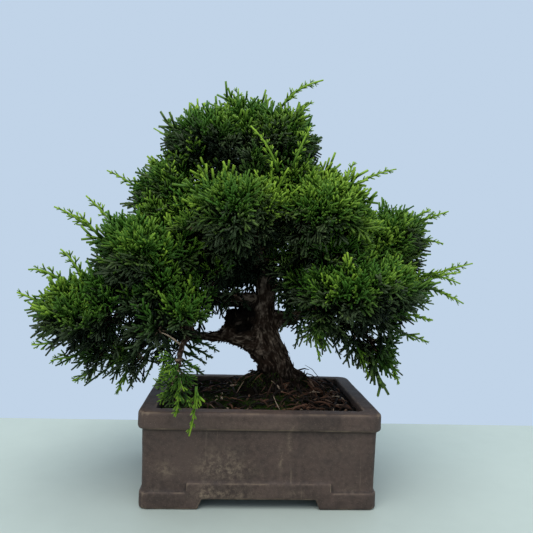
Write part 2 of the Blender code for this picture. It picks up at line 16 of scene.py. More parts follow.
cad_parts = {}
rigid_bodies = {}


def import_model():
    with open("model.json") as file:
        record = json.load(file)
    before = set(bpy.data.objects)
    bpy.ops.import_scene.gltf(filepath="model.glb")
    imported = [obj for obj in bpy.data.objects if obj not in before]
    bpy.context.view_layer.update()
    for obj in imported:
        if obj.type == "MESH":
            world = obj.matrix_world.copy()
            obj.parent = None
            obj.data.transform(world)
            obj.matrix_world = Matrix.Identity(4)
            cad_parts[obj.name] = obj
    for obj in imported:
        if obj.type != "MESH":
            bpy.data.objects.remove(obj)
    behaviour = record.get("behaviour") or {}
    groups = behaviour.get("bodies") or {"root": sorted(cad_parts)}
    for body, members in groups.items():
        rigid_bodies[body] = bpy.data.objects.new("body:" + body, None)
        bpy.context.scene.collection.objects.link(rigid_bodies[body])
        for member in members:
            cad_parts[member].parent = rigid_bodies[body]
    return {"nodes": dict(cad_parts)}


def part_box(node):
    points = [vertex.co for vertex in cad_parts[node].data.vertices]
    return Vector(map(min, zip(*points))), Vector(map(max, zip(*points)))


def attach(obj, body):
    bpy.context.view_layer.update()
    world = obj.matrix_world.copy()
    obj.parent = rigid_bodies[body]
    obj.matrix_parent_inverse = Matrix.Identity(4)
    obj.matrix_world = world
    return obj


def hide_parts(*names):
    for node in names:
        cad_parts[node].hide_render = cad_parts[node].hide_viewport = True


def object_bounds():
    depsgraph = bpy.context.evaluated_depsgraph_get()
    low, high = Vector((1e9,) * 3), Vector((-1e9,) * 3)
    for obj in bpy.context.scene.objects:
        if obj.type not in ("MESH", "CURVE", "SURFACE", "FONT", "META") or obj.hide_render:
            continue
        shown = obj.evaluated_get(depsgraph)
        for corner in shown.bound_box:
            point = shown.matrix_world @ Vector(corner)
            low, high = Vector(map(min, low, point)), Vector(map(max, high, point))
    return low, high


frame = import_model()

bl_info = {
    "name": "Juniper Bonsai",
    "version": (1, 0, 0),
    "blender": (4, 5, 0),
    "location": "3D View > Sidebar > Bonsai",
    "description": "Builds a juniper bonsai in a stoneware pot round its frame",
    "category": "Add Mesh",
}

MM = 0.001
UP = Vector((0.0, 0.0, 1.0))
GOLDEN = math.pi * (3 - math.sqrt(5))  # turns that never line up
LAYERS = ("tip", "shade", "sun")  # the values that the leaf finish reads
FRAME_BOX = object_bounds()
NODES = sorted(frame["nodes"])
PADS = [node for node in NODES if node.startswith("foliage_")]
LIMBS = [node for node in NODES if node.startswith("limb_")]
MOSSES = [node for node in NODES if node.startswith("moss_")]
TWIGS = [node for node in NODES if node.startswith("fallen_twig_")]
SCREENS = [node for node in NODES if node.startswith("drain_screen_")]
# Each pad's name, middle and half sizes.
PAD_SHAPES = [(pad, sum(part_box(pad), Vector()) / 2, (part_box(pad)[1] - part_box(pad)[0]) / 2)
              for pad in PADS]

POT_LOW, POT_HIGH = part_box("pot")
POT_MIDDLE = (POT_LOW + POT_HIGH) / 2
RIM = POT_HIGH.z
TREE_LOW, TREE_HIGH = Vector(FRAME_BOX[0]), Vector(FRAME_BOX[1])
HALF_WIDTH = (TREE_HIGH.x - TREE_LOW.x) / 2
HALF_DEPTH = 0.130  # one unit of depth stays the same when the pads' depths change
TREE_HEIGHT = TREE_HIGH.z - RIM


def place(x, y, z):
    """A point on the tree: hundredths of its half width and half depth from the pot's
    middle, and of its height above the rim."""
    across = POT_MIDDLE.x + x * HALF_WIDTH / 100
    return Vector((across, POT_MIDDLE.y + y * HALF_DEPTH / 100, RIM + z * TREE_HEIGHT / 100))


# The trunk's middle line, and the middle of its dead stub.
TRUNK_LINE = [place(*row) for row in (
    (13, 4, -6), (12, 4, 3), (9.5, 3, 10), (5.5, 3, 15.5), (2, 3, 20.5), (1.5, 4, 25.5),
    (2.5, 5, 31.5), (2.5, 6, 38), (0, 6, 48), (-3, 6, 58), (-6, 6, 68), (-7, 7, 76),
)]
STUB = place(-9, -2, 22.8)

# Growth that fills the gaps between pads: its middle and its half sizes.
FILLS = (
    (-36, 4, 62.5, 12, 22, 6), (33, 4, 61.5, 11, 25, 8), (58, 0, 52.5, 10, 22, 6),
    (-9, 0, 40.5, 17, 17, 8.5), (-26, -19, 38.5, 13, 18, 8.5), (15, -15, 38, 12, 18, 7),
    (-61, -31, 36.5, 12, 18, 5.5), (-50, -27, 28.5, 12, 17, 6), (73, -8, 33, 7.5, 18, 8),
    (-51, -30, 10.5, 11, 14, 5), (-14, 6, 84, 11, 22, 8), (-35, -58, 15, 8, 11, 5),
    (48, -27, 23, 17, 18, 4.5), (12, -13, 64, 12, 16, 4.5), (-15, -2, 58.5, 14, 18, 7.5),
    (20, -23, 30, 8, 14, 6.5), (-37, -15, 40, 13, 18, 6.5), (-19, -20, 30.5, 12, 12, 5),
    (22, -19, 25.5, 9, 13, 6.5),
)
CANOPY_CELL = 4 * MM
CLOSING = 10.5 * MM  # notches narrower than twice this are filled
# How far some pads' growth sits from the frame's pad, and how much larger it is, in mm.
TRIMS = {
    "foliage_crown_left": (2, 0, -8, -2, -2, -4), "foliage_crown_right": (-3, 0, -7, -1, -1, -3),
    "foliage_shoulder_left": (6, 0, -5, -3, -2, -2), "foliage_left_far": (2, 0, -6, -2, 0, 1),
    "foliage_left_upper": (4, 0, -3, -2, 0, -2), "foliage_left_droop": (8, 0, -3, -3, 0, -1),
    "foliage_right_far": (1, 0, -4, 1, 0, -2), "foliage_right_droop": (-8, 0, -3, -3, 0, 0),
    "foliage_right_low": (3, 0, 0, 2, 0, 0), "foliage_front_centre": (0, 2, -8, 0, 0, -5),
}
SHRINK = 7.5 * MM  # how far inside the pads' skin the tips start to spread
# How dense the airy pads are beside the rest.
DENSITY = {
    "foliage_left_droop": 0.42, "foliage_right_droop": 0.30, "foliage_centre_droop": 0.60,
    "foliage_left_mid": 0.75,
}
# Pads whose sprigs hang down, and how much.
DROOP = {
    "foliage_front_hang": 1.0, "foliage_centre_droop": 0.8, "foliage_right_droop": 0.55,
    "foliage_left_droop": 0.40,
}
# How much more or less light than the rest a pad gets.
LIGHT = {
    "foliage_crown_left": -0.08, "foliage_crown_right": -0.10, "foliage_right_upper": 0.12,
    "foliage_front_hang": 0.26, "foliage_left_mid": -0.12, "foliage_left_droop": 0.06,
    "foliage_right_droop": 0.08, "foliage_centre_droop": 0.10, "foliage_inner": -0.40,
}

# Where the plant shades itself most: the middle of each place, its reach and its depth.
SHADOWS = (
    ((-17, -14, 71.5), 31 * MM, 1.10), ((-22, -25, 48), 22 * MM, 0.45),
    ((30, -20, 52), 20 * MM, 0.35), ((14, -24, 40), 24 * MM, 0.30),
)
INNER_GAP = 19 * MM  # between the tufts painted in deep shade that fill the pads behind their skin
INNER_DEPTH = 17 * MM
SKIRT = 24 * MM  # how far below the rim foliage grows
HEART_SHADE_REACH = 62 * MM  # how far the painted shade round the plant's heart reaches

# Lumps on the wood and soil: the middle and half sizes in millimetres from the pot's base.
TRUNK_LUMPS = (
    (-21, -3, 146, 12.0, 11, 10), (-10, 2, 148, 10, 10, 11), (-17, -2, 132, 17, 12, 8.5),
    (-6, 0, 125.5, 12, 11, 9), (-29, -3, 133, 12, 9, 7.5), (2, 8, 161, 12, 11, 14),
    (-27, -3, 143, 7, 8, 8), (2, 0, 118, 10, 10, 9), (9, 0, 105, 10, 11, 12),
    (20, 4, 148, 9, 7, 5), (30, 4, 147, 8, 6, 3.5), (36, 4, 94, 11, 11, 7),
)
SOIL_LUMPS = ((6, 6, 82, 25, 26, 13), (13, 3, 84, 15, 20, 17), (37, 6, 85, 17, 18, 11))

BARK_CELL = 1.0 * MM
FIBRE = 2.1 * MM  # the width of one fibre of bark
STUB_REACH = 16.5 * MM  # how far the black on the stub spreads
DROP = 60 * MM  # places on the soil are looked up from this far above the rim
INSET = 4 * MM  # litter stays this far inside the soil's edge

# Long shoots that stand for a node of the frame: base, bow and tip.
LONG_SHOOTS = {
    "apex": [(7, 6, 90), (13, 6, 96.5), (26, 7, 99)],
    "crown_tip": [(-13.5, 4, 86), (-14, 4, 90), (-13.5, 4, 94.5)],
    "right_long": [(74, 4, 37), (88, 1, 40.5), (99, 0, 42.5)],
    "right_high": [(70, 8, 54), (79, 7, 57), (88, 6, 59)],
    "left_long": [(-86, -31, 25), (-96, -31, 29), (-101.5, -31, 30)],
    "left_high": [(-70, -25, 47), (-80, -24, 52.5), (-89, -24, 54.5)],
}
# Others that run out past the pads.
MORE_SHOOTS = [
    [(13, 8, 86), (17, 8, 90), (21, 8, 92)],
    [(-31, 0, 71), (-39, 0, 76.5), (-51, 0, 80.5)],
    [(-36, 2, 77), (-41, 2, 81), (-46.5, 2, 84)],
    [(4, -40, 66), (1, -40, 73), (-8, -40, 78.5)],
    [(10, -37, 68), (14.5, -37, 76), (17, -37, 79.5)],
    [(1, -34, 56), (-2, -42, 62), (-6, -45, 66)], [(2, -34, 56), (4, -42, 63), (8, -45, 67)],
    [(1, -34, 56), (1, -43, 62), (1, -46, 68.5)], [(2, -34, 54), (8, -42, 59), (13, -46, 62)],
    [(36, -18, 63), (46.5, -18, 68.5), (57.5, -18, 70)],
    [(33, -20, 63), (36.5, -20, 68), (38, -20, 71.5)],
    [(68, 9, 54), (75, 9, 58), (80, 9, 59.5)],
    [(74, 6, 50), (80, 6, 49.5), (86, 6, 48.5)],
    [(74, -6, 36), (83, -6, 39), (91.5, -6, 39.5)],
    [(72, -9, 39), (82, -9, 38.5), (91, -9, 36)],
    [(72, -14, 35), (82, -14, 33.5), (91.5, -14, 30)],
    [(62, -24, 27), (69, -24, 26), (75, -24, 25)],
    [(62, -24, 21), (68, -24, 20), (73.5, -24, 18.5)],
    [(-60, -24, 47), (-69, -24, 54), (-76, -24, 58)],
    [(-51, -8, 59), (-60, -8, 64), (-70, -8, 66.5)],
    [(-74, -31, 33), (-78.5, -31, 39.5), (-84.5, -31, 42.5)],
    [(-80, -32, 32), (-90, -32, 37.5), (-97, -32, 36.5)],
    [(-84, -31, 17), (-90, -31, 15.5), (-95, -31, 15.5)],
    [(-78, -24, 12), (-84, -24, 11.5), (-88.5, -24, 10.5)],
    [(-70, -20, 8), (-76, -20, 6), (-80, -20, 4.5)],
    [(-57, -20, 8), (-60, -20, 4), (-61, -20, 1)],
    [(-25, -84, 10), (-25, -85, 4), (-27, -85, -2)],
    [(-31, -84, 12), (-31, -86, 7), (-32, -86, 3)],
    [(21, -40, 23), (22, -41, 18), (24, -41, 13.5)],
    [(55, -25, 14), (58, -25, 10), (61, -25, 6)],
    [(41, -30, 17), (45, -32, 12), (46, -32, 8)],
]

# Older sprays that hang from the lower pads, as fans, with low painted light: the first
# and last root, the first and last tip, and how many shoots.
HANGING_FANS = [
    ((24, -26, 24.5), (47, -18, 16.5), (28, -26, 14), (62, -18, 8), 8),
    ((15, -15, 26), (20, -30, 24), (10, -15, 19), (24, -30, 15), 3),
    ((27, -29, 25), (34, -28, 24), (23, -29, 17), (39, -28, 15), 3),
    ((-40, -34, 15), (-56, -28, 15), (-44, -34, 4), (-78, -28, 5), 6),
    ((-54, -15, 16), (-68, -23, 16), (-75, -15, 8), (-87, -23, 11), 3),
    ((-35, -31, 13), (-32, -23, 18), (-24, -31, 7), (-20, -23, 15), 4),
    ((8, -8, 33), (14, -11, 32), (9, -8, 27), (11, -11, 26), 3),
    ((-25, -12, 30), (-18, -11, 30), (-23, -12, 24), (-18, -11, 25), 3),
]


# ---------------------------------------------------------------- settings
def length(name, words, default):
    return bpy.props.FloatProperty(
        name=name, description=words, default=default, unit="LENGTH", subtype="DISTANCE"
    )


def colour(name, words, default):
    return bpy.props.FloatVectorProperty(
        name=name, description=words, default=default, size=3, min=0, max=1, subtype="COLOR"
    )


def number(name, words, default):
    return bpy.props.IntProperty(name=name, description=words, default=default)


def angle(name, words, default):
    return bpy.props.FloatProperty(
        name=name, description=words, default=default, subtype="ANGLE"
    )


class FoliageSettings(bpy.types.PropertyGroup):
    shoot_length: length("Shoot length", "Length of a side shoot", 10.5 * MM)
    shoot_radius: length("Shoot radius", "Thickness of a shoot, as a radius", 0.94 * MM)
    sprig_length: length("Sprig length", "Length of a sprig's main shoot", 23 * MM)
    tuft_spacing: length("Tuft spacing", "Distance between tufts", 14.5 * MM)
    tuft_depth: length("Tuft depth", "How far inside a pad a tuft is rooted", 24 * MM)
    sprigs: number("Sprigs in a tuft", "How many sprigs fan out from a tuft", 9)
    fan: angle("Fan", "How wide a tuft opens", math.radians(54))
    deep: colour("Shaded leaf", "Colour of leaves in deep shade", (0.0030, 0.0085, 0.0020))
    green: colour("Leaf", "Colour of most leaves", (0.044, 0.124, 0.010))
    # lime shows only on tips where the painted light is high, so it is partly a painted
    # highlight.
    lime: colour("New leaf", "Colour of the newest leaves", (0.275, 0.425, 0.035))
    # old is painted where the painted light is middling, so it is partly painted half shade.
    old: colour("Old leaf", "Colour of old leaves inside the plant", (0.066, 0.086, 0.043))
    stem: colour("Stem", "Colour of a sprig's woody base", (0.045, 0.028, 0.016))


class WoodSettings(bpy.types.PropertyGroup):
    ridge: length("Ridge height", "Height of the bark's ridges", 0.85 * MM)
    # The crevice colour is painted shade in the bark's low parts; the grey is weathering with a
    # painted highlight on the ridges.
    dark: colour("Crevice", "Colour deep in the bark", (0.006, 0.004, 0.003))
    brown: colour("Bark", "Colour of most bark", (0.018, 0.0108, 0.0072))
    grey: colour("Weathered bark", "Colour of the ridges", (0.200, 0.150, 0.112))
    # The black of the dead stub, and the trunk darker towards its foot.
    char: colour("Char", "Colour of the dead stub and the damp foot", (0.0035, 0.0025, 0.002))


class PotSettings(bpy.types.PropertyGroup):
    cell: length("Cell", "Size of the pot mesh's cells", 1.5 * MM)
    clay: colour("Clay", "Colour of the fired clay", (0.093, 0.059, 0.045))
    clay_dark: colour("Dark clay", "Colour of its darker patches", (0.048, 0.0305, 0.0235))
    # The scuff colour also paints the highlight on the pot's convex edges; the colour for
    # creases is painted shade.
    scuff: colour("Scuffs", "Colour of scuffs and dust", (0.240, 0.172, 0.115))
    crease_shade: colour("Creases", "Colour of the dirt in the corners", (0.016, 0.011, 0.009))


class GroundSettings(bpy.types.PropertyGroup):
    litter: number("Litter", "How many bits of litter are dropped on the soil", 1250)
    roots: number("Fine roots", "How many fine roots run out from the trunk", 38)
    cushion_leaves: number("Cushion leaves", "Most leaves on one moss cushion", 700)
    loose_leaves: number("Loose moss", "How many moss leaves are tried on the soil", 6500)
    dark: colour("Wet soil", "Colour of the soil's hollows", (0.004, 0.003, 0.002))
    brown: colour("Soil", "Colour of most soil", (0.007, 0.0048, 0.0028))
    moss_dark: colour("Old moss", "Colour of the moss's hollows", (0.006, 0.010, 0.0025))
    moss_green: colour("Moss", "Colour of the moss's tips", (0.036, 0.066, 0.010))


class StageSettings(bpy.types.PropertyGroup):
    floor_edge: length("Floor edge", "How far the floor runs behind the plant", 0.171)
    floor: colour("Floor", "Colour of the floor", (0.470, 0.520, 0.460))
    air: colour("Backdrop", "Colour of the backdrop and its light", (0.650, 0.800, 0.985))
    air_light: bpy.props.FloatProperty(
        name="Backdrop light", description="Strength of the backdrop's light", default=0.82
    )
    camera_place: bpy.props.FloatVectorProperty(
        name="Camera", description="Camera's place from the middle of the pot's base",
        default=(-0.0281, -0.512, 0.2053), size=3, subtype="TRANSLATION",
    )
    camera_turn: bpy.props.FloatVectorProperty(
        name="Camera turn", description="How far the camera tips, rolls and turns",
        default=(math.radians(-0.69), math.radians(1.94), math.radians(3.62)), size=3,
        subtype="EULER",
    )
    view_angle: angle("View angle", "Camera's field of view", 2 * math.atan(0.4935))


# ---------------------------------------------------------------- node helpers
def add_node(tree, kind, values=None, **sockets):
    """A node of this kind. values sets its inputs, and sockets links or sets them by name
    with underscores for spaces."""
    node = tree.nodes.new(kind)
    for key, value in (values or {}).items():
        if key in node.inputs:
            node.inputs[key].default_value = value
        else:
            setattr(node, key, value)
    for key, value in sockets.items():
        tree.links.new(value, node.inputs[key.replace("_", " ")])
    return node


def feed(tree, socket, value):
    """Links value to the socket if it's a socket itself, and otherwise sets it."""
    if isinstance(value, bpy.types.NodeSocket):
        tree.links.new(value, socket)
    elif isinstance(value, (int, float)):
        socket.default_value = value
    else:
        socket.default_value = (*value[:3], 1.0)


def mix_colours(tree, share, first, second):
    """A Mix node's colour output. Each of the three is a socket or a value."""
    node = add_node(tree, "ShaderNodeMix", {"data_type": "RGBA"})
    for index, value in ((0, share), (6, first), (7, second)):
        feed(tree, node.inputs[index], value)
    return node.outputs[2]


def maths(tree, operation, first, second):
    node = add_node(tree, "ShaderNodeMath", {"operation": operation})
    for socket, value in zip(node.inputs, (first, second)):
        feed(tree, socket, value)
    return node.outputs[0]


def times(tree, first, second):
    return maths(tree, "MULTIPLY", first, second)


def plus(tree, first, second):
    return maths(tree, "ADD", first, second)


def rest(tree, value):
    """What is left of 1."""
    return maths(tree, "SUBTRACT", 1.0, value)


def step(tree, value, low, high):
    """0 below low, 1 above high, and smooth between."""
    values = {"interpolation_type": "SMOOTHSTEP", "From Min": low, "From Max": high}
    return add_node(tree, "ShaderNodeMapRange", values, Value=value).outputs["Result"]


def noise_field(tree, vector, scale, detail, roughness=0.5):
    values = {"Detail": detail, "Roughness": roughness}
    node = add_node(tree, "ShaderNodeTexNoise", values, Vector=vector)
    feed(tree, node.inputs["Scale"], scale)
    return node.outputs["Fac"]


def cell_field(tree, vector, scale):
    """How far each place is from the nearest of many scattered points."""
    node = add_node(tree, "ShaderNodeTexVoronoi", Vector=vector)
    feed(tree, node.inputs["Scale"], scale)
    return node.outputs["Distance"]


def attribute(tree, name):
    return add_node(tree, "ShaderNodeAttribute", {"attribute_name": name}).outputs["Fac"]


def new_group(name, inputs, outputs):
    """An empty shader node group, with its input and output nodes."""
    tree = bpy.data.node_groups.new(name, "ShaderNodeTree")
    for side, sockets in (("INPUT", inputs), ("OUTPUT", outputs)):
        for label, kind in sockets:
            tree.interface.new_socket(label, in_out=side, socket_type=kind)
    return tree, tree.nodes.new("NodeGroupInput"), tree.nodes.new("NodeGroupOutput")


def mottle_group():
    """Two colours in soft patches, with a finer grain over them."""
    found = bpy.data.node_groups.get("Mottle")
    if found:
        return found
    tree, given, result = new_group(
        "Mottle",
        [("Vector", "NodeSocketVector"), ("Scale", "NodeSocketFloat"),
         ("Grain", "NodeSocketFloat"), ("First", "NodeSocketColor"),
         ("Second", "NodeSocketColor")],
        [("Color", "NodeSocketColor"), ("Mask", "NodeSocketFloat")],
    )
    vector = given.outputs["Vector"]
    patches = noise_field(tree, vector, given.outputs["Scale"], 5.0, 0.6)
    grain = noise_field(tree, vector, given.outputs["Grain"], 2.0)
    both = plus(tree, times(tree, patches, 0.65), times(tree, grain, 0.35))
    mask = step(tree, both, 0.36, 0.64)
    tree.links.new(mask, result.inputs["Mask"])
    blended = mix_colours(tree, mask, given.outputs["First"], given.outputs["Second"])
    tree.links.new(blended, result.inputs["Color"])
    return tree


def relief_group():
    """A height for fine bumps: soft noise with small pits in it."""
    found = bpy.data.node_groups.get("Fine Relief")
    if found:
        return found
    tree, given, result = new_group(
        "Fine Relief",
        [("Vector", "NodeSocketVector"), ("Scale", "NodeSocketFloat"),
         ("Pits", "NodeSocketFloat")],
        [("Height", "NodeSocketFloat")],
    )
    vector, scale = given.outputs["Vector"], given.outputs["Scale"]
    bumps = noise_field(tree, vector, scale, 4.0, 0.65)
    pits = step(tree, cell_field(tree, vector, scale), 0.05, 0.40)
    sunk = times(tree, maths(tree, "SUBTRACT", pits, 1.0), given.outputs["Pits"])
    tree.links.new(plus(tree, bumps, sunk), result.inputs["Height"])
    return tree


def use_group(tree, group, values, vector):
    """A node of this group, with these values or sockets for its inputs."""
    node = add_node(tree, "ShaderNodeGroup", {"node_tree": group})
    for key, value in values.items():
        feed(tree, node.inputs[key], value)
    tree.links.new(vector, node.inputs["Vector"])
    return node


def new_material(name, roughness, specular):
    """A material with a Principled BSDF. Returns it, its tree, its shader and the object
    coordinates."""
    finish = bpy.data.materials.new(name)
    finish.use_nodes = True
    tree = finish.node_tree
    shader = tree.nodes["Principled BSDF"]
    shader.inputs["Roughness"].default_value = roughness
    shader.inputs["Specular IOR Level"].default_value = specular
    return finish, tree, shader, add_node(tree, "ShaderNodeTexCoord").outputs["Object"]


def mottled(tree, vector, scale, grain, first, second):
    """Two colours mottled together, and the mask between them."""
    values = {"Scale": scale, "Grain": grain, "First": first, "Second": second}
    node = use_group(tree, mottle_group(), values, vector)
    return node.outputs["Color"], node.outputs["Mask"]


def bump(tree, shader, height, distance, strength=1.0):
    node = add_node(tree, "ShaderNodeBump", {"Strength": strength, "Distance": distance},
                    Height=height)
    tree.links.new(node.outputs["Normal"], shader.inputs["Normal"])


def fine_bump(tree, shader, vector, scale, pits, distance, strength=1.0):
    relief = use_group(tree, relief_group(), {"Scale": scale, "Pits": pits}, vector)
    bump(tree, shader, relief.outputs["Height"], distance, strength)


# ---------------------------------------------------------------- materials
def leaf_material(name, settings):
    """Scale leaves: brown at a sprig's woody base, painted shade in deep green where the sun
    value is low and towards each sprig's base, grey old leaves painted in half shade, and
    lime new tips painted only where the sun value is high, a painted highlight."""
    finish, tree, shader, vector = new_material(name, 0.55, 0.14)
    tip, shade, sun = (attribute(tree, each) for each in LAYERS)
    grain = noise_field(tree, vector, 420.0, 1.0)
    # The painted light: the sun value, with a little grain.
    lit = plus(tree, times(tree, sun, 0.75), times(tree, grain, 0.25))
    # Painted shade: darker towards each sprig's base, deep inside its tuft.
    depth_shading = plus(tree, times(tree, step(tree, tip, 0.25, 0.90), 0.62), 0.38)
    shown = times(tree, step(tree, lit, 0.12, 0.78), depth_shading)
    leaf = mix_colours(tree, shown, settings.deep, settings.green)
    # Painted half shade: grey old leaves where the painted light is middling.
    old_in_half_shade = times(tree, step(tree, lit, 0.17, 0.26), rest(tree, step(tree, lit, 0.22, 0.58)))
    old_in_half_shade = times(tree, old_in_half_shade, step(tree, tip, 0.25, 0.85))
    leaf = mix_colours(tree, times(tree, old_in_half_shade, 0.85), leaf, settings.old)
    # Painted highlight: lime new tips only where the painted light is high.
    fresh_and_lit = times(tree, step(tree, tip, 0.45, 1.05), step(tree, shade, 0.25, 1.1))
    fresh_and_lit = times(tree, fresh_and_lit, step(tree, lit, 0.10, 0.90))
    leaf = mix_colours(tree, fresh_and_lit, leaf, settings.lime)
    leaf = mix_colours(tree, rest(tree, step(tree, tip, 0.05, 0.30)), leaf, settings.stem)
    tree.links.new(leaf, shader.inputs["Base Color"])
    bump(tree, shader, cell_field(tree, vector, 1100.0), 0.25 * MM, 0.8)
    return finish


def bark_material(name, settings):
    """Fibrous bark: the ridge value and how black it is come from the mesh. The high ridges are
    grey from weathering, with a painted highlight, and the low parts are painted shade.
    """
    finish, tree, shader, vector = new_material(name, 0.92, 0.03)
    ridge = attribute(tree, "ridge")
    _, patches = mottled(tree, vector, 90.0, 500.0, settings.brown, settings.grey)
    # Grey from weathering, with a painted highlight, on the high ridges.
    weathered_and_highlit = times(tree, step(tree, ridge, 0.48, 0.84), patches)
    body = mix_colours(tree, weathered_and_highlit, settings.brown, settings.grey)
    # Painted shade: dark in the bark's low crevices.
    body = mix_colours(tree, step(tree, ridge, 0.12, 0.50), settings.dark, body)
    body = mix_colours(tree, attribute(tree, "char"), body, settings.char)
    tree.links.new(body, shader.inputs["Base Color"])
    fine_bump(tree, shader, vector, 900.0, 0.3, 0.35 * MM, 0.9)
    return finish


def clay_material(name, settings):
    """Fired clay: patchy body, fine grains, painted shade in the creases, wear on the edges with
    a painted highlight, scuffs, scratches.
    """
    finish, tree, shader, vector = new_material(name, 0.74, 0.35)
    painted, _ = mottled(tree, vector, 22.0, 260.0, settings.clay_dark, settings.clay)
    pale = rest(tree, step(tree, cell_field(tree, vector, 620.0), 0.10, 0.24))
    painted = mix_colours(tree, times(tree, pale, 0.35), painted, settings.scuff)
    edge = attribute(tree, "edge")
    # Painted shade: darker in the clay's creases.
    painted_crease_shade = times(tree, step(tree, times(tree, edge, -1.0), 0.05, 0.22), 0.55)
    painted = mix_colours(tree, painted_crease_shade, painted, settings.crease_shade)
    dusty = noise_field(tree, vector, 90.0, 5.0)
    # Wear and a painted highlight: the scuff colour on convex edges.
    worn_and_highlit = times(tree, step(tree, edge, 0.05, 0.20), step(tree, dusty, 0.35, 0.70))
    painted = mix_colours(tree, times(tree, worn_and_highlit, 0.75), painted, settings.scuff)
    rubbed = step(tree, noise_field(tree, vector, 240.0, 6.0, 0.75), 0.40, 0.66)
    marks = times(tree, attribute(tree, "scuff"), rubbed)
    painted = mix_colours(tree, marks, painted, settings.scuff)
    drawn = add_node(tree, "ShaderNodeMapping", {"Scale": (260.0, 260.0, 14.0)}, Vector=vector)
    lines = noise_field(tree, drawn.outputs["Vector"], 1.0, 2.0)
    scratch = times(tree, step(tree, lines, 0.66, 0.74), 0.30)
    painted = mix_colours(tree, scratch, painted, settings.scuff)
    tree.links.new(painted, shader.inputs["Base Color"])
    fine_bump(tree, shader, vector, 430.0, 0.6, 0.35 * MM, 0.7)
    rough = plus(tree, times(tree, step(tree, dusty, 0.2, 0.8), 0.18), 0.62)
    tree.links.new(rough, shader.inputs["Roughness"])
    return finish


def mottled_material(name, first, second, scale, grain, roughness, relief_scale, distance):
    """Soil, moss and plastic: a mottle of two colours with fine relief."""
    finish, tree, shader, vector = new_material(name, roughness, 0.06)
    body, _ = mottled(tree, vector, scale, grain, first, second)
    tree.links.new(body, shader.inputs["Base Color"])
    fine_bump(tree, shader, vector, relief_scale, 0.5, distance)
    return finish


def litter_material(name):
    """Dry bits whose shade value runs from dark through red-brown to tan."""
    finish, tree, shader, vector = new_material(name, 0.85, 0.2)
    shade = attribute(tree, "shade")
    grain = noise_field(tree, vector, 500.0, 2.0)
    dark, red, tan = (0.008, 0.005, 0.003), (0.130, 0.058, 0.032), (0.500, 0.370, 0.250)
    body = mix_colours(tree, step(tree, shade, 0.05, 0.55), dark, red)
    body = mix_colours(tree, step(tree, shade, 0.60, 1.0), body, tan)
    body = mix_colours(tree, times(tree, grain, 0.5), body, dark)
    tree.links.new(body, shader.inputs["Base Color"])
    bump(tree, shader, grain, 0.3 * MM)
    return finish


# ---------------------------------------------------------------- mesh helpers
def finish_piece(bm, name, finish, replaces=()):
    """Turns a bmesh into a piece that rides on the plant."""
    mesh = bpy.data.meshes.new(name)
    bm.to_mesh(mesh)
    bm.free()
    mesh.shade_smooth()
    mesh.materials.append(finish)
    piece = bpy.data.objects.new(name, mesh)
    bpy.context.scene.collection.objects.link(piece)
    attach(piece, "root")
    if replaces:
        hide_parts(*replaces)
    return piece


def merged_copy(*nodes):
    """A bmesh of these CAD nodes with their triangles joined up."""
    bm = bmesh.new()
    for node in nodes:
        bm.from_mesh(frame["nodes"][node].data)
    bmesh.ops.remove_doubles(bm, verts=bm.verts, dist=MM / 100)
    return bm


def add_lump(bm, middle, half, detail=3):
    """Adds a rounded lump with these half sizes."""
    matrix = Matrix.Translation(middle) @ Matrix.Diagonal((*half, 1.0))
    bmesh.ops.create_icosphere(bm, subdivisions=detail, radius=1.0, matrix=matrix)


def regrown(bm, cell):
    """The bmesh's outer skin as a new bmesh of even cells. Overlapping parts merge."""
    mesh = bpy.data.meshes.new("guide")
    bm.to_mesh(mesh)
    bm.free()
    guide = bpy.data.objects.new("guide", mesh)
    bpy.context.scene.collection.objects.link(guide)
    cells = guide.modifiers.new("Cells", "REMESH")
    cells.mode = "VOXEL"
    cells.voxel_size = cell
    bpy.context.view_layer.update()
    graph = bpy.context.evaluated_depsgraph_get()
    fine = bpy.data.meshes.new_from_object(guide.evaluated_get(graph))
    bpy.data.objects.remove(guide)
    bpy.data.meshes.remove(mesh)
    bm = bmesh.new()
    bm.from_mesh(fine)
    bpy.data.meshes.remove(fine)
    return bm


def soften(bm, rounds):
    for _ in range(rounds):
        bmesh.ops.smooth_vert(bm, verts=bm.verts, factor=0.5, use_axis_x=True, use_axis_y=True,
                              use_axis_z=True)
    bm.normal_update()


def pushed(bm, distance, cell, rounds):
    """The bmesh moved out by distance, then grown again and softened."""
    bm.normal_update()
    for vertex in bm.verts:
        vertex.co += vertex.normal * distance
    bm = regrown(bm, cell)
    soften(bm, rounds)
    return bm


def refined(nodes, cell, rounds, lumps=(), closing=0.0):
    """A bmesh of these CAD nodes and lumps, grown together in even cells and softened.
    Notches narrower than twice closing are filled."""
    bm = merged_copy(*nodes)
    base = Vector((POT_MIDDLE.x, POT_MIDDLE.y, POT_LOW.z))
    for row in lumps:
        add_lump(bm, base + Vector(row[:3]) * MM, Vector(row[3:]) * MM)
    bm = regrown(bm, cell)
    if closing:
        bm = pushed(bm, closing, cell, 2)
        bm = pushed(bm, -closing, cell, 2)
    if not bm.faces:
        raise RuntimeError(f"{nodes[0]} has no faces after remeshing")
    soften(bm, rounds)
    return bm


def search_tree(*nodes):
    """One tree to look up the nearest surface of these CAD nodes."""
    bm = merged_copy(*nodes)
    found = BVHTree.FromBMesh(bm)
    bm.free()
    return found


def layer(bm, name):
    return bm.verts.layers.float.get(name) or bm.verts.layers.float.new(name)


def with_layers(bm):
    """The same bmesh, with the layers that the leaf finish reads."""
    for name in LAYERS:
        layer(bm, name)
    return bm


def rough(point, *waves):
    """Noise at a point: each wave is its size and its height."""
    return sum(noise.noise(point / (size * MM)) * height for size, height in waves)


def flat_way(turn):
    return Vector((math.cos(turn), math.sin(turn), 0))


def astray(rng, up=0.0):
    """A random way aside, with this much of it upwards."""
    return Vector((rng.uniform(-1, 1), rng.uniform(-1, 1), up))


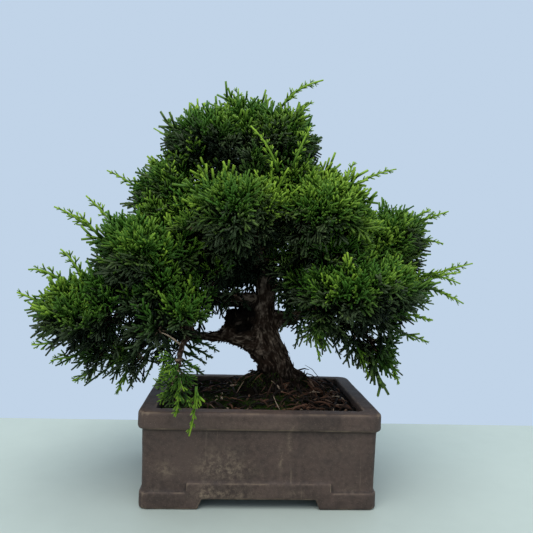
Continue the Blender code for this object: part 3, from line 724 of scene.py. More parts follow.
def rod(sides, spans):
    """A closed rod one unit long and one in radius, cut into spans. Kept for reuse."""
    name = f"rod_{sides}_{spans}"
    mesh = bpy.data.meshes.get(name)
    if mesh is None:
        bm = bmesh.new()
        bmesh.ops.create_cone(bm, cap_ends=True, segments=sides, radius1=1, radius2=1, depth=1)
        rails = [edge for edge in bm.edges if abs(edge.verts[0].co.z - edge.verts[1].co.z) > 0.5]
        if spans > 1:
            bmesh.ops.subdivide_edges(bm, edges=rails, cuts=spans - 1)
        bmesh.ops.recalc_face_normals(bm, faces=bm.faces)
        mesh = bpy.data.meshes.new(name)
        bm.to_mesh(mesh)
        bm.free()
    return mesh


def write_values(mesh, values):
    """Writes each value, or list of values, to the mesh's points."""
    for name, value in values.items():
        store = mesh.attributes.get(name) or mesh.attributes.new(name, "FLOAT", "POINT")
        many = value if isinstance(value, list) else [value] * len(mesh.vertices)
        store.data.foreach_set("value", many)


def strand(bm, path, radii, sides=3, tips=(0.0, 1.0), flat=1.0, **values):
    """A closed strand along path, as thick as radii. tips are the tip values at its two
    ends, and flat squeezes it to a strip."""
    spans = len(path) - 1
    turns = []
    side = None
    for index in range(spans + 1):
        ahead = (path[min(index + 1, spans)] - path[max(index - 1, 0)]).normalized()
        side = ahead.orthogonal() if side is None else side - ahead * side.dot(ahead)
        side.normalize()
        turns.append((side.copy(), ahead.cross(side)))
    copy = rod(sides, spans).copy()
    shares = []
    for vertex in copy.vertices:
        share = vertex.co.z + 0.5
        index = round(share * spans)
        first, second = turns[index]
        spread = (first * vertex.co.x + second * (vertex.co.y * flat)) * radii[index]
        vertex.co = path[index] + spread
        shares.append(tips[0] + (tips[1] - tips[0]) * share)
    write_values(copy, {"tip": shares, **values})
    bm.from_mesh(copy)
    bpy.data.meshes.remove(copy)


def bowed(start, end, bow, points):
    """Points from start to end along a curve that bow pushes aside at its middle."""
    path = []
    for index in range(points):
        t = index / (points - 1)
        path.append(start.lerp(end, t) + bow * (4 * t * (1 - t)))
    return path


def shape_mesh(bm, name):
    """A mesh to copy many times, with the layers that the leaf finish reads."""
    mesh = bpy.data.meshes.new(name)
    with_layers(bm).to_mesh(mesh)
    bm.free()
    return mesh


def plant(bm, shape, matrix, **values):
    """Adds a copy of shape at matrix, with these values on its points."""
    copy = shape.copy()
    copy.transform(matrix)
    write_values(copy, values)
    bm.from_mesh(copy)
    bpy.data.meshes.remove(copy)


def aim(at, way, roll, size):
    """A matrix that stands a shape at a point, with its +Z along way."""
    turn = way.to_track_quat("Z", "Y").to_matrix().to_4x4()
    return Matrix.Translation(at) @ turn @ Matrix.Rotation(roll, 4, "Z") @ Matrix.Scale(size, 4)


def tilted(way, tilt, turn):
    """way leant over by tilt, towards the direction that turn gives."""
    side = way.orthogonal().normalized()
    axis = Quaternion(way, turn) @ side
    return Quaternion(axis, tilt) @ way


# ---------------------------------------------------------------- foliage
def add_shoot(bm, start, way, bend, size, radius, tips):
    """One cord-like shoot with a blunt tip."""
    end = start + way * size
    path = [start, start.lerp(end, 0.55) + bend * 0.35, end + bend]
    strand(bm, path, [radius * 0.85, radius, radius * 0.72], 3, tips)


def sprig_shape(seed, settings, count):
    """A sprig: a main shoot with blunt side shoots that leave it in turn, some forked."""
    rng = random.Random(seed)
    bm = bmesh.new()
    size, radius = settings.sprig_length, settings.shoot_radius
    lean = astray(rng) * size * 0.16
    end = UP * size + lean * 0.4
    middle = UP * size * 0.5 - lean * 0.5
    strand(bm, [Vector(), middle, end], [radius * 0.8, radius, radius * 0.75], 3, (0.0, 1.0))
    for index in range(count):
        t = 0.10 + 0.78 * index / (count - 1)
        start = middle * (2 * t) if t < 0.5 else middle.lerp(end, 2 * t - 1)
        way = tilted(UP, math.radians(47 - 17 * t + rng.uniform(-7, 7)),
                     index * GOLDEN * 1.35 + rng.uniform(-0.5, 0.5))
        reach = settings.shoot_length * (1.22 - 0.64 * t) * rng.uniform(0.85, 1.15)
        stop = start + way * reach + UP * reach * 0.20
        tips = (0.10 + 0.45 * t, min(1.0, 0.78 + 0.28 * t))
        strand(bm, [start, stop], [radius * 0.92, radius * 0.78], 3, tips)
        if index in (1, 3, 4):
            fork = start.lerp(stop, rng.uniform(0.35, 0.55))
            aside = tilted(way, math.radians(rng.uniform(28, 40)), rng.uniform(0, 6.28))
            strand(bm, [fork, fork + aside * reach * 0.56], [radius * 0.85, radius * 0.74], 3,
                   (sum(tips) / 2, tips[1]))
    return shape_mesh(bm, f"sprig_{seed}")


def side_shape(seed, settings):
    """A side shoot with one fork, for the long shoots."""
    rng = random.Random(seed)
    bm = bmesh.new()
    size, radius = settings.shoot_length, settings.shoot_radius
    add_shoot(bm, Vector(), UP, Vector((size * 0.12, 0, 0)), size, radius, (0.45, 1.0))
    for turn in (0.0, math.pi):
        way = tilted(UP, math.radians(38), turn + rng.uniform(-0.4, 0.4))
        add_shoot(bm, UP * size * rng.uniform(0.3, 0.5), way, UP * size * 0.06, size * 0.55,
                  radius * 0.9, (0.5, 1.0))
    return shape_mesh(bm, f"side_{seed}")


def canopy_skin():
    """One skin over every pad and fill, with the notches between them closed."""
    bm = bmesh.new()
    for pad, middle, half in PAD_SHAPES:
        trim = TRIMS.get(pad, (0,) * 6)
        shift, grown = Vector(trim[:3]) * MM, Vector(trim[3:]) * MM
        add_lump(bm, middle + shift, half + grown, 4)
    for x, y, z, wide, deep, tall in FILLS:
        middle = place(x, y, z)
        add_lump(bm, middle, place(x + wide, y + deep, z + tall) - middle, 4)
    bm = regrown(bm, CANOPY_CELL)
    soften(bm, 2)
    bm = pushed(bm, CLOSING, CANOPY_CELL, 4)
    bm = pushed(bm, -CLOSING - SHRINK, CANOPY_CELL, 4)
    for vertex in bm.verts:
        vertex.co += vertex.normal * rough(vertex.co, (24, 5.5), (60, 3.0)) * MM
    soften(bm, 1)
    return bm


def spread_out(points, gap, rng):
    """Indices of points picked at random so that no two are nearer than gap."""
    order = list(range(len(points)))
    rng.shuffle(order)
    cells = {}
    picked = []
    for index in order:
        point = points[index]
        key = tuple(math.floor(value / gap) for value in point)
        close = False
        for x in (-1, 0, 1):
            for y in (-1, 0, 1):
                for z in (-1, 0, 1):
                    for other in cells.get((key[0] + x, key[1] + y, key[2] + z), ()):
                        close = close or (other - point).length < gap
        if not close:
            cells.setdefault(key, []).append(point)
            picked.append(index)
    return picked


def nearest_pad(point):
    """The pad whose ellipsoid is nearest to this point, for its size."""
    def distance(row):
        return sum(((point - row[1])[i] / row[2][i]) ** 2 for i in range(3))
    return min(PAD_SHAPES, key=distance)[0]


def light_at(point, pad):
    """How much more or less light than the rest a tuft gets here."""
    light = LIGHT.get(pad, 0.0) + rough(point, (24, 1.0), (60, 0.5)) * 0.28 - 0.07
    # Painted shade round the plant's heart, and in the places that SHADOWS lists.
    heart = point - TRUNK_LINE[6]
    heart.z *= 1.3
    light -= 0.55 * max(0.0, 1 - heart.length / HEART_SHADE_REACH)
    for middle, reach, strength in SHADOWS:
        light -= strength * max(0.0, 1 - (point - place(*middle)).length / reach)
    return light


def find_tufts(settings):
    """Every tuft, sorted by the pad it's nearest to: where it's rooted, which way it grows,
    how deep it's rooted, whether it's on an underside, how far its sprigs rise, and its
    shade and light."""
    noise.seed_set(7)  # noise_vector would otherwise start from the clock
    rng = random.Random("tufts")
    bm = canopy_skin()
    skin = BVHTree.FromBMesh(bm)
    points = [vertex.co.copy() for vertex in bm.verts]
    normals = [vertex.normal.copy() for vertex in bm.verts]
    bm.free()
    found = {pad: [] for pad in PADS}

    def thickness(point, normal):
        return skin.ray_cast(point - normal * MM, -normal)[3]

    for index in spread_out(points, settings.tuft_spacing, rng):
        point, normal = points[index], normals[index]
        if point.z < RIM - SKIRT:
            continue
        outward = point - TRUNK_LINE[5]
        outward.z = 0
        outward.normalize()
        lean = noise.noise_vector(point / (45 * MM))
        pad = nearest_pad(point)
        droop = DROOP.get(pad, 0.0)
        under = normal.z < -0.35 and droop < 0.5
        if under:
            if rng.random() < 0.15:
                continue
            grow = normal * 0.55 + outward * 0.75 + lean * 0.4
        else:
            grow = normal + UP * (0.30 - 1.15 * droop) + outward * 0.70 + lean * 0.55
        grow.normalize()
        depth = min(settings.tuft_depth, 0.6 * (thickness(point, normal) or 60 * MM))
        if rng.random() > DENSITY.get(pad, 1.0):
            continue
        patch = noise.noise(point / (38 * MM) + Vector((7, 3, 1)))
        # The tint is raised on pads with more painted light, which gives them more lime tips.
        shade = 0.45 + patch * 0.5 + LIGHT.get(pad, 0.0) * 1.2
        rise = 0.05 if under else 0.20 - 0.45 * droop
        root = point - grow * depth
        found[pad].append((root, grow, depth, under, rise, shade, light_at(point, pad)))
    # Tufts behind the skin, painted with light -0.8: painted shade that keeps the pads dark
    # inside.
    for index in spread_out(points, INNER_GAP, rng):
        point, normal = points[index], normals[index]
        if (thickness(point, normal) or 0.0) < 2.5 * INNER_DEPTH or point.z < RIM + 40 * MM:
            continue
        pad = nearest_pad(point)
        if pad not in DROOP:
            root = point - normal * 2 * INNER_DEPTH
            found[pad].append((root, normal, INNER_DEPTH, True, 0.1, 0.0, -0.8))
    return found


def grow_tufts(bm, tufts, shapes, settings, rng):
    """Fans sprigs out from each tuft's root. Some tufts have a longer, newer leader."""
    for root, grow, depth, under, rise, tuft_shade, light in tufts:
        fit = (depth + 3 * MM) / (27 * MM)
        count = settings.sprigs * min(1.0, 0.40 + 0.60 * fit)
        count = round(count * (0.65 if under or rise < 0.1 else 1.0))
        leader = rng.randrange(4) if rng.random() < 0.30 and not under else None
        for index in range(count):
            spread = math.sqrt((index + 0.5) / count)
            tilt = settings.fan * spread * rng.uniform(0.80, 1.15)
            way = tilted(grow, tilt, index * GOLDEN + rng.uniform(-0.4, 0.4))
            way = (way + UP * rise).normalized()
            start = root + way * rng.uniform(1.0, 4.5) * MM
            scale = max(0.62, fit * rng.uniform(0.82, 1.18))
            shade = tuft_shade + rng.uniform(-0.28, 0.28)
            sun = 0.62 + 0.38 * max(way.z, -rise) - 0.25 * spread * (1 - way.z)
            sun -= 0.15 if under else 0.0
            if index == leader:
                scale *= rng.uniform(1.25, 1.50)
                shade += 0.35
            matrix = aim(start, way, rng.uniform(0, 2 * math.pi), scale)
            plant(bm, rng.choice(shapes), matrix, shade=min(1.0, max(0.0, shade)),
                  sun=min(1.0, max(0.0, sun + light)))


def grow_twigs(bm, tufts, wood, rng):
    """Fine twigs from the nearest limb to each tuft."""
    for root, grow, depth, *_ in tufts:
        near = wood.find_nearest(root)[0]
        bow = Vector((rng.uniform(-1, 1), rng.uniform(-1, 1), rng.uniform(-0.5, 1))) * 2.5 * MM
        end = root + grow * depth * 0.30
        thick = rng.uniform(0.85, 1.25) * MM
        strand(bm, bowed(near, end, bow, 5), [thick, thick * 0.9, thick * 0.8, thick * 0.7,
               thick * 0.5], 4, (0.0, 0.0), shade=rng.random())


def add_long_shoot(bm, rows, shapes, settings, rng, fresh_and_lit=1.0):
    """A long shoot with side shoots that get shorter towards its tip. Its last argument runs
    from 0 for an old grey spray in painted shade to 1 for a new lime one in painted light,
    and sets both the tint and the sun value."""
    base, bend, tip = (place(*row) for row in rows)

    def at(t):
        return base * (1 - t) ** 2 + bend * 2 * t * (1 - t) + tip * t * t

    spans = 6
    path = [at(index / spans) for index in range(spans + 1)]
    radii = [settings.shoot_radius * (1.50 - 0.60 * index / spans) for index in range(spans + 1)]
    strand(bm, path, radii, 4, (0.55 * fresh_and_lit, 1.0), shade=fresh_and_lit, sun=0.15 + 0.75 * fresh_and_lit)
    run = sum((end - start).length for start, end in zip(path, path[1:]))
    count = max(4, round(run / (4.2 * MM)))
    for index in range(count):
        t = 0.06 + 0.74 * index / (count - 1)
        ahead = (bend - base).lerp(tip - bend, t).normalized()
        way = tilted(ahead, math.radians(rng.uniform(24, 36)), index * GOLDEN * 1.4)
        size = (1.10 - 0.68 * t) * rng.uniform(0.8, 1.15)
        plant(bm, rng.choice(shapes), aim(at(t), way, rng.uniform(0, 6.28), size),
              shade=fresh_and_lit * rng.uniform(0.75, 1.0),
              sun=rng.uniform(0.15, 0.35) + 0.60 * fresh_and_lit)


def add_fan(bm, fan, shapes, settings, rng):
    """Old sprays side by side, from the first root and tip to the last."""
    count = fan[4]
    first, last, first_tip, last_tip = (Vector(row) for row in fan[:4])
    for index in range(count):
        along = index / (count - 1)
        root = first.lerp(last, along)
        tip = first_tip.lerp(last_tip, along)
        tip += Vector((rng.uniform(-2.5, 2.5), 0, rng.uniform(-2, 2)))
        middle = root.lerp(tip, 0.5) + Vector((rng.uniform(-1, 1), 0, 0.6))
        add_long_shoot(bm, (root, middle, tip), shapes, settings, rng, rng.uniform(0.10, 0.35))


# ---------------------------------------------------------------- wood
def line_place(lines, point):
    """How far along the nearest of these middle lines a point is, its offset from the
    line, and the line's way there."""
    best = None
    for line in lines:
        run = 0.0
        for start, end in zip(line, line[1:]):
            span = end - start
            share = max(0.0, min(1.0, (point - start).dot(span) / span.length_squared))
            offset = point - start - span * share
            if best is None or offset.length < best[0]:
                best = (offset.length, run + share * span.length, offset, span)
            run += span.length
    return best[1], best[2], best[3].normalized()


def main_line(bm, pieces=6):
    """A middle line for a limb, from the means of its slices along its longest way."""
    points = [vertex.co.copy() for vertex in bm.verts]
    low = Vector(min(p[i] for p in points) for i in range(3))
    high = Vector(max(p[i] for p in points) for i in range(3))
    axis = max(range(3), key=lambda i: high[i] - low[i])
    line = []
    for index in range(pieces):
        floor = low[axis] + (high[axis] - low[axis]) * index / pieces
        top = low[axis] + (high[axis] - low[axis]) * (index + 1) / pieces
        inside = [p for p in points if floor <= p[axis] <= top]
        if inside:
            line.append(sum(inside, Vector()) / len(inside))
    return line


def bark_height(along, offset):
    """The bark's height from 0 to 1: long fibres with plates and cracks across them."""
    fibre = offset / FIBRE
    wander = noise.noise(Vector((along / (9 * MM), 3.1, 0.0))) * 0.9
    strip = Vector((fibre.x + wander, fibre.y, fibre.z + along / (11 * MM)))
    ridge = 1 - abs(noise.noise(strip)) * 2.1
    plate = noise.noise(Vector((fibre.x / 3, fibre.y / 3, along / (16 * MM)))) * 0.5 + 0.5
    crack = noise.noise(Vector((fibre.x, fibre.z, along / (3.2 * MM)))) * 0.5 + 0.5
    blotch = noise.noise(offset / (3.6 * MM) + Vector((0, 0, along / (5 * MM)))) * 0.5 + 0.5
    return max(0.0, min(1.0, 0.34 * ridge + 0.28 * plate + 0.24 * crack + 0.26 * blotch))


def blackening_at(point, lumpy):
    """How black the trunk is: on its dead stub, and darker towards its foot."""
    stub = (STUB_REACH - (point - STUB).length + lumpy * 2 * MM) / (4 * MM)
    darkened = 0.90 * (1 - (point.z - RIM - 8 * MM) / (24 * MM)) + lumpy * 0.10
    return max(0.0, min(1.0, stub), min(0.80, darkened))


def bark_piece(nodes, lines, settings, finish, name, relief, lumps=()):
    """A limb or the trunk with its bark in the mesh. The trunk also has lumps, a waist on
    its right side, and strips that peel from it."""
    rng = random.Random("bark " + name)
    bm = refined(nodes, BARK_CELL, 2, lumps, 3 * MM if lumps else 0.0)
    lines = lines or [main_line(bm)]
    ridge_layer, blackening_layer = layer(bm, "ridge"), layer(bm, "char")
    seeds = []
    for vertex in bm.verts:
        point, normal = vertex.co.copy(), vertex.normal.copy()
        along, offset, way = line_place(lines, point)
        high = bark_height(along, offset)
        lumpy = rough(point, (9, 1.5), (4.5, 0.8))
        char = blackening_at(point, lumpy) if lumps else 0.0
        vertex[ridge_layer] = high
        vertex[blackening_layer] = char
        push = settings.ridge * relief * ((high - 0.45) * 2.0 + lumpy)
        if char > 0.55:
            push += char * rough(point, (5, 1.8), (2, 1.2)) * 1.8 * MM
        if lumps and normal.x > 0:
            waist = max(0.0, 1 - abs((point.z - RIM) / MM - 40) / 34)
            push -= 5.5 * MM * waist * normal.x
        vertex.co += normal * push
        if lumps and rng.random() < 0.035 and point.z > RIM + 8 * MM:
            seeds.append((vertex.co.copy(), normal, way, char))
    bm.normal_update()
    for seed in seeds:
        add_strip(bm, *seed, rng)
    finish_piece(bm, name, finish, nodes)


def add_strip(bm, point, normal, way, char, rng):
    """A strip that peels from the bark: a shard on the dead stub, and a hanging tooth on
    an underside."""
    size, thick = rng.uniform(2.5, 7.0) * MM, rng.uniform(0.3, 0.6) * MM
    lift = rng.uniform(0.05, 0.30)
    if char > 0.5:
        way = (normal + UP * 1.3 + Vector((rng.uniform(-1, 0.4), 0, 0))).normalized()
        thick, lift = rng.uniform(0.6, 1.4) * MM, 0.2
        size = rng.uniform(2.5, 8.0) * MM
    elif normal.z < -0.45:
        way = (normal - UP * 0.3 + Vector((-0.6, 0, 0))).normalized()
        thick, lift, size = rng.uniform(0.5, 1.0) * MM, 0.1, rng.uniform(1.5, 3.6) * MM
    elif rng.random() < 0.5:
        way = -way
    way = (way + normal * lift).normalized()
    start = point - way * size * 0.3
    path = bowed(start, start + way * size, normal * size * 0.05, 4)
    strand(bm, path, [thick * 0.7, thick, thick * 0.8, thick * 0.2], 4, flat=0.6,
           ridge=rng.uniform(0.2, 1.0), char=char)


# ---------------------------------------------------------------- operators
class BonsaiOperator(bpy.types.Operator):
    bl_options = {"REGISTER", "UNDO"}


class BONSAI_OT_pot(BonsaiOperator):
    """Build the stoneware pot, with its clay, scuffs and wear, painted shade in its creases and
    painted highlights on its edges
    """

    bl_idname = "bonsai.pot"
    bl_label = "Pot"

    # Rubbed places on the front wall, in mm: how far across and up from the middle of the
    # pot's base, then half sizes and strength.
    SPOTS = (
        (-32, 41, 17, 10, 0.60), (-24, 31, 20, 7, 0.60), (-45, 33, 8, 8, 0.35),
        (-28, 12, 25, 5, 0.75), (-43, 13, 7, 7, 0.80), (0, 21, 45, 1.5, 0.30),
        (-80, 33, 7, 6, 0.50), (-72, 30, 6, 4, 0.35), (17, 42, 1.6, 9, 0.95),
        (24, 58, 2, 12, 0.80), (60, 50, 18, 6, 0.12), (30, 14, 16, 3, 0.30),
        (78, 16, 10, 3, 0.30), (-84, 16, 12, 3, 0.25), (2, 70, 60, 3, 0.18),
    )
    WIDER, TALLER = 1.010, 1.012  # how much larger the clay is than the frame's pot

    def execute(self, context):
        settings = context.scene.bonsai_pot
        bm = refined(("pot",), settings.cell, 1)
        scuff_layer, edge_layer = layer(bm, "scuff"), layer(bm, "edge")
        surface = search_tree("pot")
        for vertex in bm.verts:
            vertex.co = surface.find_nearest(vertex.co)[0]
        bm.normal_update()
        # How convex the clay is here, from which the finish paints shade in creases and
        # highlights on edges.
        for vertex in bm.verts:
            ways = [(edge.other_vert(vertex).co - vertex.co).normalized()
                    for edge in vertex.link_edges]
            vertex[edge_layer] = -sum(way.dot(vertex.normal) for way in ways) / len(ways)
        for vertex in bm.verts:
            point = vertex.co
            point.x = POT_MIDDLE.x + (point.x - POT_MIDDLE.x) * self.WIDER
            point.z *= self.TALLER
            vertex.co = point + vertex.normal * rough(point, (28, 0.30), (7, 0.08)) * MM
            vertex[scuff_layer] = min(1.0, self.scuffs(point, vertex.normal))
        bm.normal_update()
        finish_piece(bm, "stoneware_pot", clay_material("clay", settings), ("pot",))
        plastic = mottled_material("screen_plastic", (0.012, 0.013, 0.012), (0.03, 0.03, 0.028),
                                   120.0, 900.0, 0.55, 700.0, 0.1 * MM)
        for node in SCREENS:
            slots = frame["nodes"][node].data.materials
            slots.clear()
            slots.append(plastic)
        return {"FINISHED"}

    def scuffs(self, point, normal):
        if point.y > POT_LOW.y + 12 * MM or normal.y > -0.5:
            return 0.0
        marks = 0.0
        for x, z, wide, tall, strength in self.SPOTS:
            across = ((point.x - POT_MIDDLE.x) / MM - x) / wide
            up = (point.z / MM - z) / tall
            marks += strength * math.exp(-across * across - up * up)
        return marks


class BONSAI_OT_ground(BonsaiOperator):
    """Build the soil, its moss, and the litter, roots and twigs that lie on it"""

    bl_idname = "bonsai.ground"
    bl_label = "Soil and moss"

    def execute(self, context):
        settings = context.scene.bonsai_ground
        rng = random.Random("ground")
        self.low, self.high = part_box("soil")
        self.surfaces = [self.soil(settings)]
        self.moss(settings, rng)
        finish = litter_material("dry_litter")
        self.litter(settings, finish, rng)
        self.roots(settings, finish, rng)
        for node in TWIGS:
            self.twig(node, finish)
        return {"FINISHED"}

    def ground(self, point):
        """The height of the soil or moss here."""
        start = Vector((point.x, point.y, RIM + DROP))
        hits = [surface.ray_cast(start, -UP)[0] for surface in self.surfaces]
        return max((hit.z for hit in hits if hit is not None), default=self.low.z)

    def on_soil(self, point):
        return (self.low.x + INSET < point.x < self.high.x - INSET
                and self.low.y + INSET < point.y < self.high.y - INSET)

    def soil(self, settings):
        bm = refined(("soil",), 1.6 * MM, 2, SOIL_LUMPS)
        for vertex in bm.verts:
            if vertex.normal.z > 0.3 and vertex.co.z > RIM - 12 * MM:
                vertex.co.z += rough(vertex.co, (6, 1.1), (2.2, 0.9)) * MM
        bm.normal_update()
        finish = mottled_material("soil_crumb", settings.dark, settings.brown, 160.0, 700.0,
                                  0.95, 600.0, 0.9 * MM)
        surface = BVHTree.FromBMesh(bm)
        finish_piece(bm, "soil_crumbs", finish, ("soil",))
        return surface

    def moss(self, settings, rng):
        """Cushions of moss, and loose moss in patches all over the soil."""
        finish = mottled_material("moss_leaf", settings.moss_dark, settings.moss_green, 110.0,
                                  900.0, 0.9, 900.0, 0.6 * MM)
        soil = self.surfaces[0]
        leaf = bmesh.new()
        strand(leaf, [UP * height * MM for height in (0, 1.1, 2.2)],
               [radius * MM for radius in (0.32, 0.26, 0.10)])
        leaf = shape_mesh(leaf, "moss_leaf")
        for node in MOSSES:
            bm = refined((node,), 1.1 * MM, 1)
            tops = []
            for vertex in bm.verts:
                vertex.co.z += rough(vertex.co, (4, 1.0), (1.7, 1.0)) * 0.55 * MM
                if vertex.normal.z > 0.4:
                    tops.append((vertex.co.copy(), vertex.normal.copy()))
            self.surfaces.append(BVHTree.FromBMesh(bm))
            with_layers(bm)
            for point, normal in rng.sample(tops, min(settings.cushion_leaves, len(tops))):
                way = (normal + astray(rng) * 0.6).normalized()
                plant(bm, leaf, aim(point, way, 0.0, rng.uniform(0.6, 1.3)))
            finish_piece(bm, node.replace("moss_", "moss_cushion_"), finish, (node,))
        bm = bmesh.new()
        low, high, edge = self.low, self.high, 3 * MM
        for _ in range(settings.loose_leaves):
            x = rng.uniform(low.x + edge, min(high.x, POT_MIDDLE.x + 45 * MM))
            start = Vector((x, rng.uniform(low.y + edge, high.y - edge), RIM + DROP))
            point, normal, _, _ = soil.ray_cast(start, -UP)
            if point is None or noise.noise(point / (17 * MM)) < -0.22:
                continue
            way = (normal + astray(rng) * 0.7).normalized()
            plant(bm, leaf, aim(point, way, 0.0, rng.uniform(0.8, 1.7)))
        finish_piece(bm, "moss_fuzz", finish)

    def litter(self, settings, finish, rng):
        """Dry bits of many lengths, fewer on the mossy left half."""
        bm = bmesh.new()
        low, high = self.low, self.high
        for _ in range(settings.litter):
            start = Vector((rng.uniform(low.x + INSET, high.x - INSET),
                            rng.uniform(low.y + INSET, high.y - INSET), 0))
            if start.x < POT_MIDDLE.x and rng.random() < 0.45:
                continue
            size = rng.choice((2.5, 4, 6, 9, 13, 18)) * rng.uniform(0.8, 1.2) * MM
            way = flat_way(rng.uniform(0, 2 * math.pi))
            start.z = self.ground(start) + rng.uniform(0.3, 1.4) * MM
            end = start + way * size
            if not self.on_soil(end):
                continue
            end.z = self.ground(end) + rng.random() ** 2 * 0.50 * size + 0.4 * MM
            thick = rng.choice((0.45, 0.6, 0.8, 1.15)) * rng.uniform(0.85, 1.1) * MM
            bow = astray(rng, 0.9) * size * 0.16
            strand(bm, bowed(start, end, bow, 4), [thick * 0.7, thick, thick * 0.9, thick * 0.4],
                   4, shade=rng.random() ** 3.0)
        finish_piece(bm, "soil_litter", finish)

    def roots(self, settings, finish, rng):
        bm = bmesh.new()
        for _ in range(settings.roots):
            turn = rng.uniform(-1.7, 0.9)
            reach = rng.uniform(16, 30) * MM
            size = rng.uniform(10, 26) * MM
            start = TRUNK_LINE[1] + flat_way(turn) * reach
            end = start + flat_way(turn + rng.uniform(-0.9, 0.9)) * size
            if not self.on_soil(end):
                continue
            start.z = self.ground(start) - 0.3 * MM
            end.z = self.ground(end) - 0.2 * MM
            side = astray(rng, 0.9) * 2.0 * MM
            thick = rng.uniform(0.45, 0.95) * MM
            strand(bm, bowed(start, end, side, 7), [thick] * 6 + [thick * 0.5], 5,
                   shade=rng.uniform(0.08, 0.42))
        finish_piece(bm, "fine_roots", finish)

    def twig(self, node, finish):
        """A fallen twig across its node's box, with four stubs of side twigs."""
        bm = bmesh.new()
        radius = 0.9 * MM
        start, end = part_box(node)
        for point in (start, end):
            point.z = self.ground(point) + radius
        path = bowed(start, end, UP * 1.2 * MM, 6)
        radii = [radius * share for share in (1, 0.9, 0.85, 0.7, 0.6, 0.3)]
        strand(bm, path, radii, 6, shade=0.62)
        for index in (1, 2, 3, 4):
            way = tilted((end - start).normalized(), math.radians(42), index * 2.6)
            way.z = abs(way.z) * 0.5
            root = path[index]
            side = [root, root + way * 4 * MM, root + way * 7 * MM + UP * 0.6 * MM]
            strand(bm, side, [radius * 0.5, radius * 0.4, radius * 0.2], 4, shade=0.7)
        finish_piece(bm, node.replace("fallen_", "dry_"), finish, (node,))


class BONSAI_OT_wood(BonsaiOperator):
    """Build the trunk and the limbs, with their bark"""

    bl_idname = "bonsai.wood"
    bl_label = "Trunk and limbs"

    def execute(self, context):
        settings = context.scene.bonsai_wood
        finish = bark_material("fibrous_bark", settings)
        low_limb = "limb_left_low"
        bm = merged_copy(low_limb)
        lines = [TRUNK_LINE, main_line(bm)]
        bm.free()
        bark_piece(("trunk", low_limb), lines, settings, finish, "trunk_bark", 1.5, TRUNK_LUMPS)
        for node in LIMBS:
            if node != low_limb:
                bark_piece((node,), None, settings, finish, node + "_bark", 0.6)
        return {"FINISHED"}


class BONSAI_OT_foliage(BonsaiOperator):
    """Grow tufts of juniper sprigs and their twigs on every pad"""

    bl_idname = "bonsai.foliage"
    bl_label = "Foliage"

    def execute(self, context):
        settings = context.scene.bonsai_foliage
        finish = leaf_material("scale_leaf", settings)
        twig_finish = litter_material("fine_twig")
        shapes = [sprig_shape(seed, settings, 7) for seed in range(8)]
        wood = search_tree("trunk", *LIMBS)
        twigs = bmesh.new()
        for pad, tufts in find_tufts(settings).items():
            if not tufts:
                raise RuntimeError(f"{pad} has no tufts")
            rng = random.Random(pad)
            bm = bmesh.new()
            grow_tufts(bm, tufts, shapes, settings, rng)
            finish_piece(bm, pad.replace("foliage_", "juniper_"), finish, (pad,))
            grow_twigs(twigs, tufts, wood, rng)
        finish_piece(twigs, "fine_twigs", twig_finish)
        bpy.data.batch_remove(shapes)
        return {"FINISHED"}


class BONSAI_OT_long_shoots(BonsaiOperator):
    """Grow the long shoots and hanging sprays that run out past the pads"""

    bl_idname = "bonsai.long_shoots"
    bl_label = "Long shoots"

    def execute(self, context):
        settings = context.scene.bonsai_foliage
        finish = leaf_material("new_leaf", settings)
        shapes = [side_shape(seed, settings) for seed in range(5)]
        rng = random.Random("long shoots")
        for name, rows in LONG_SHOOTS.items():
            bm = with_layers(bmesh.new())
            add_long_shoot(bm, rows, shapes, settings, rng)
            finish_piece(bm, "long_shoot_" + name, finish, ("shoot_" + name,))
        bm = with_layers(bmesh.new())
        for rows in MORE_SHOOTS:
            add_long_shoot(bm, rows, shapes, settings, rng)
        for fan in HANGING_FANS:
            add_fan(bm, fan, shapes, settings, rng)
        finish_piece(bm, "long_shoots_more", finish)
        bpy.data.batch_remove(shapes)
        return {"FINISHED"}


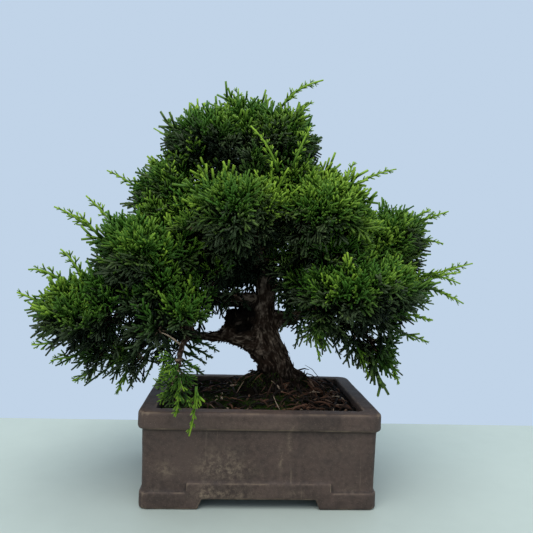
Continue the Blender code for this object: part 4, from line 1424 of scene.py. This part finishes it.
class BONSAI_OT_stage(BonsaiOperator):
    """Set the floor, the soft light and the camera"""

    bl_idname = "bonsai.stage"
    bl_label = "Stage"

    def execute(self, context):
        settings = context.scene.bonsai_stage
        scene = context.scene
        bm = bmesh.new()
        bmesh.ops.create_cube(bm, size=1.0)
        for vertex in bm.verts:
            depth = settings.floor_edge if vertex.co.y > 0 else -2.0
            vertex.co = (vertex.co.x * 4.0, depth, -0.02 if vertex.co.z < 0 else 0.0)
        finish, tree, shader, vector = new_material("floor_paint", 0.6, 0.3)
        dimmer = [value * 0.97 for value in settings.floor]
        body, _ = mottled(tree, vector, 9.0, 60.0, settings.floor, dimmer)
        tree.links.new(body, shader.inputs["Base Color"])
        mesh = bpy.data.meshes.new("floor")
        bm.to_mesh(mesh)
        bm.free()
        mesh.materials.append(finish)
        floor = bpy.data.objects.new("floor", mesh)
        scene.collection.objects.link(floor)

        world = bpy.data.worlds.new("soft_daylight")
        world.use_nodes = True
        sky = world.node_tree.nodes["Background"]
        sky.inputs["Color"].default_value = (*settings.air, 1.0)
        sky.inputs["Strength"].default_value = settings.air_light
        scene.world = world
        for name, at, size, power, tint in (
            ("key_light", (-0.25, -0.75, 1.35), 1.1, 13.0, (1.0, 0.98, 0.94)),
            ("top_light", (0.2, 0.15, 1.6), 1.4, 12.0, (0.90, 0.96, 1.0)),
        ):
            light = bpy.data.lights.new(name, "AREA")
            light.size = size
            light.energy = power
            light.color = tint
            lamp = bpy.data.objects.new(name, light)
            scene.collection.objects.link(lamp)
            lamp.location = at
            aim_at = Vector((0, 0, 0.18)) - lamp.location
            lamp.rotation_euler = aim_at.to_track_quat("-Z", "Y").to_euler()

        tip, roll, turn = settings.camera_turn
        ahead = Vector((math.sin(turn) * math.cos(tip), math.cos(turn) * math.cos(tip),
                        math.sin(tip)))
        facing = ahead.to_track_quat("-Z", "Y") @ Quaternion((0, 0, 1), roll)
        lens = bpy.data.cameras.new("camera")
        lens.angle = settings.view_angle
        lens.clip_start = 0.02
        camera = bpy.data.objects.new("camera", lens)
        scene.collection.objects.link(camera)
        base = Vector((POT_MIDDLE.x, POT_MIDDLE.y, POT_LOW.z))
        camera.matrix_world = Matrix.Translation(base + Vector(settings.camera_place)) @ (
            facing.to_matrix().to_4x4()
        )
        scene.camera = camera
        scene.view_settings.view_transform = "Standard"
        return {"FINISHED"}


class BONSAI_PT_panel(bpy.types.Panel):
    """Lists the operators that build the bonsai"""

    bl_label = "Bonsai"
    bl_idname = "BONSAI_PT_panel"
    bl_space_type = "VIEW_3D"
    bl_region_type = "UI"
    bl_category = "Bonsai"

    def draw(self, context):
        for operator in OPERATORS:
            self.layout.operator(operator.bl_idname)


SETTINGS = {
    "bonsai_foliage": FoliageSettings,
    "bonsai_wood": WoodSettings,
    "bonsai_pot": PotSettings,
    "bonsai_ground": GroundSettings,
    "bonsai_stage": StageSettings,
}
OPERATORS = (
    BONSAI_OT_pot,
    BONSAI_OT_ground,
    BONSAI_OT_wood,
    BONSAI_OT_foliage,
    BONSAI_OT_long_shoots,
    BONSAI_OT_stage,
)


def register():
    for name, group in SETTINGS.items():
        bpy.utils.register_class(group)
        setattr(bpy.types.Scene, name, bpy.props.PointerProperty(type=group))
    for item in (*OPERATORS, BONSAI_PT_panel):
        bpy.utils.register_class(item)


def unregister():
    for item in reversed((*OPERATORS, BONSAI_PT_panel)):
        bpy.utils.unregister_class(item)
    for name, group in reversed(SETTINGS.items()):
        delattr(bpy.types.Scene, name)
        bpy.utils.unregister_class(group)


def main():
    register()
    bpy.ops.bonsai.pot()
    bpy.ops.bonsai.ground()
    bpy.ops.bonsai.wood()
    bpy.ops.bonsai.foliage()
    bpy.ops.bonsai.long_shoots()
    bpy.ops.bonsai.stage()


if __name__ == "__main__":
    main()
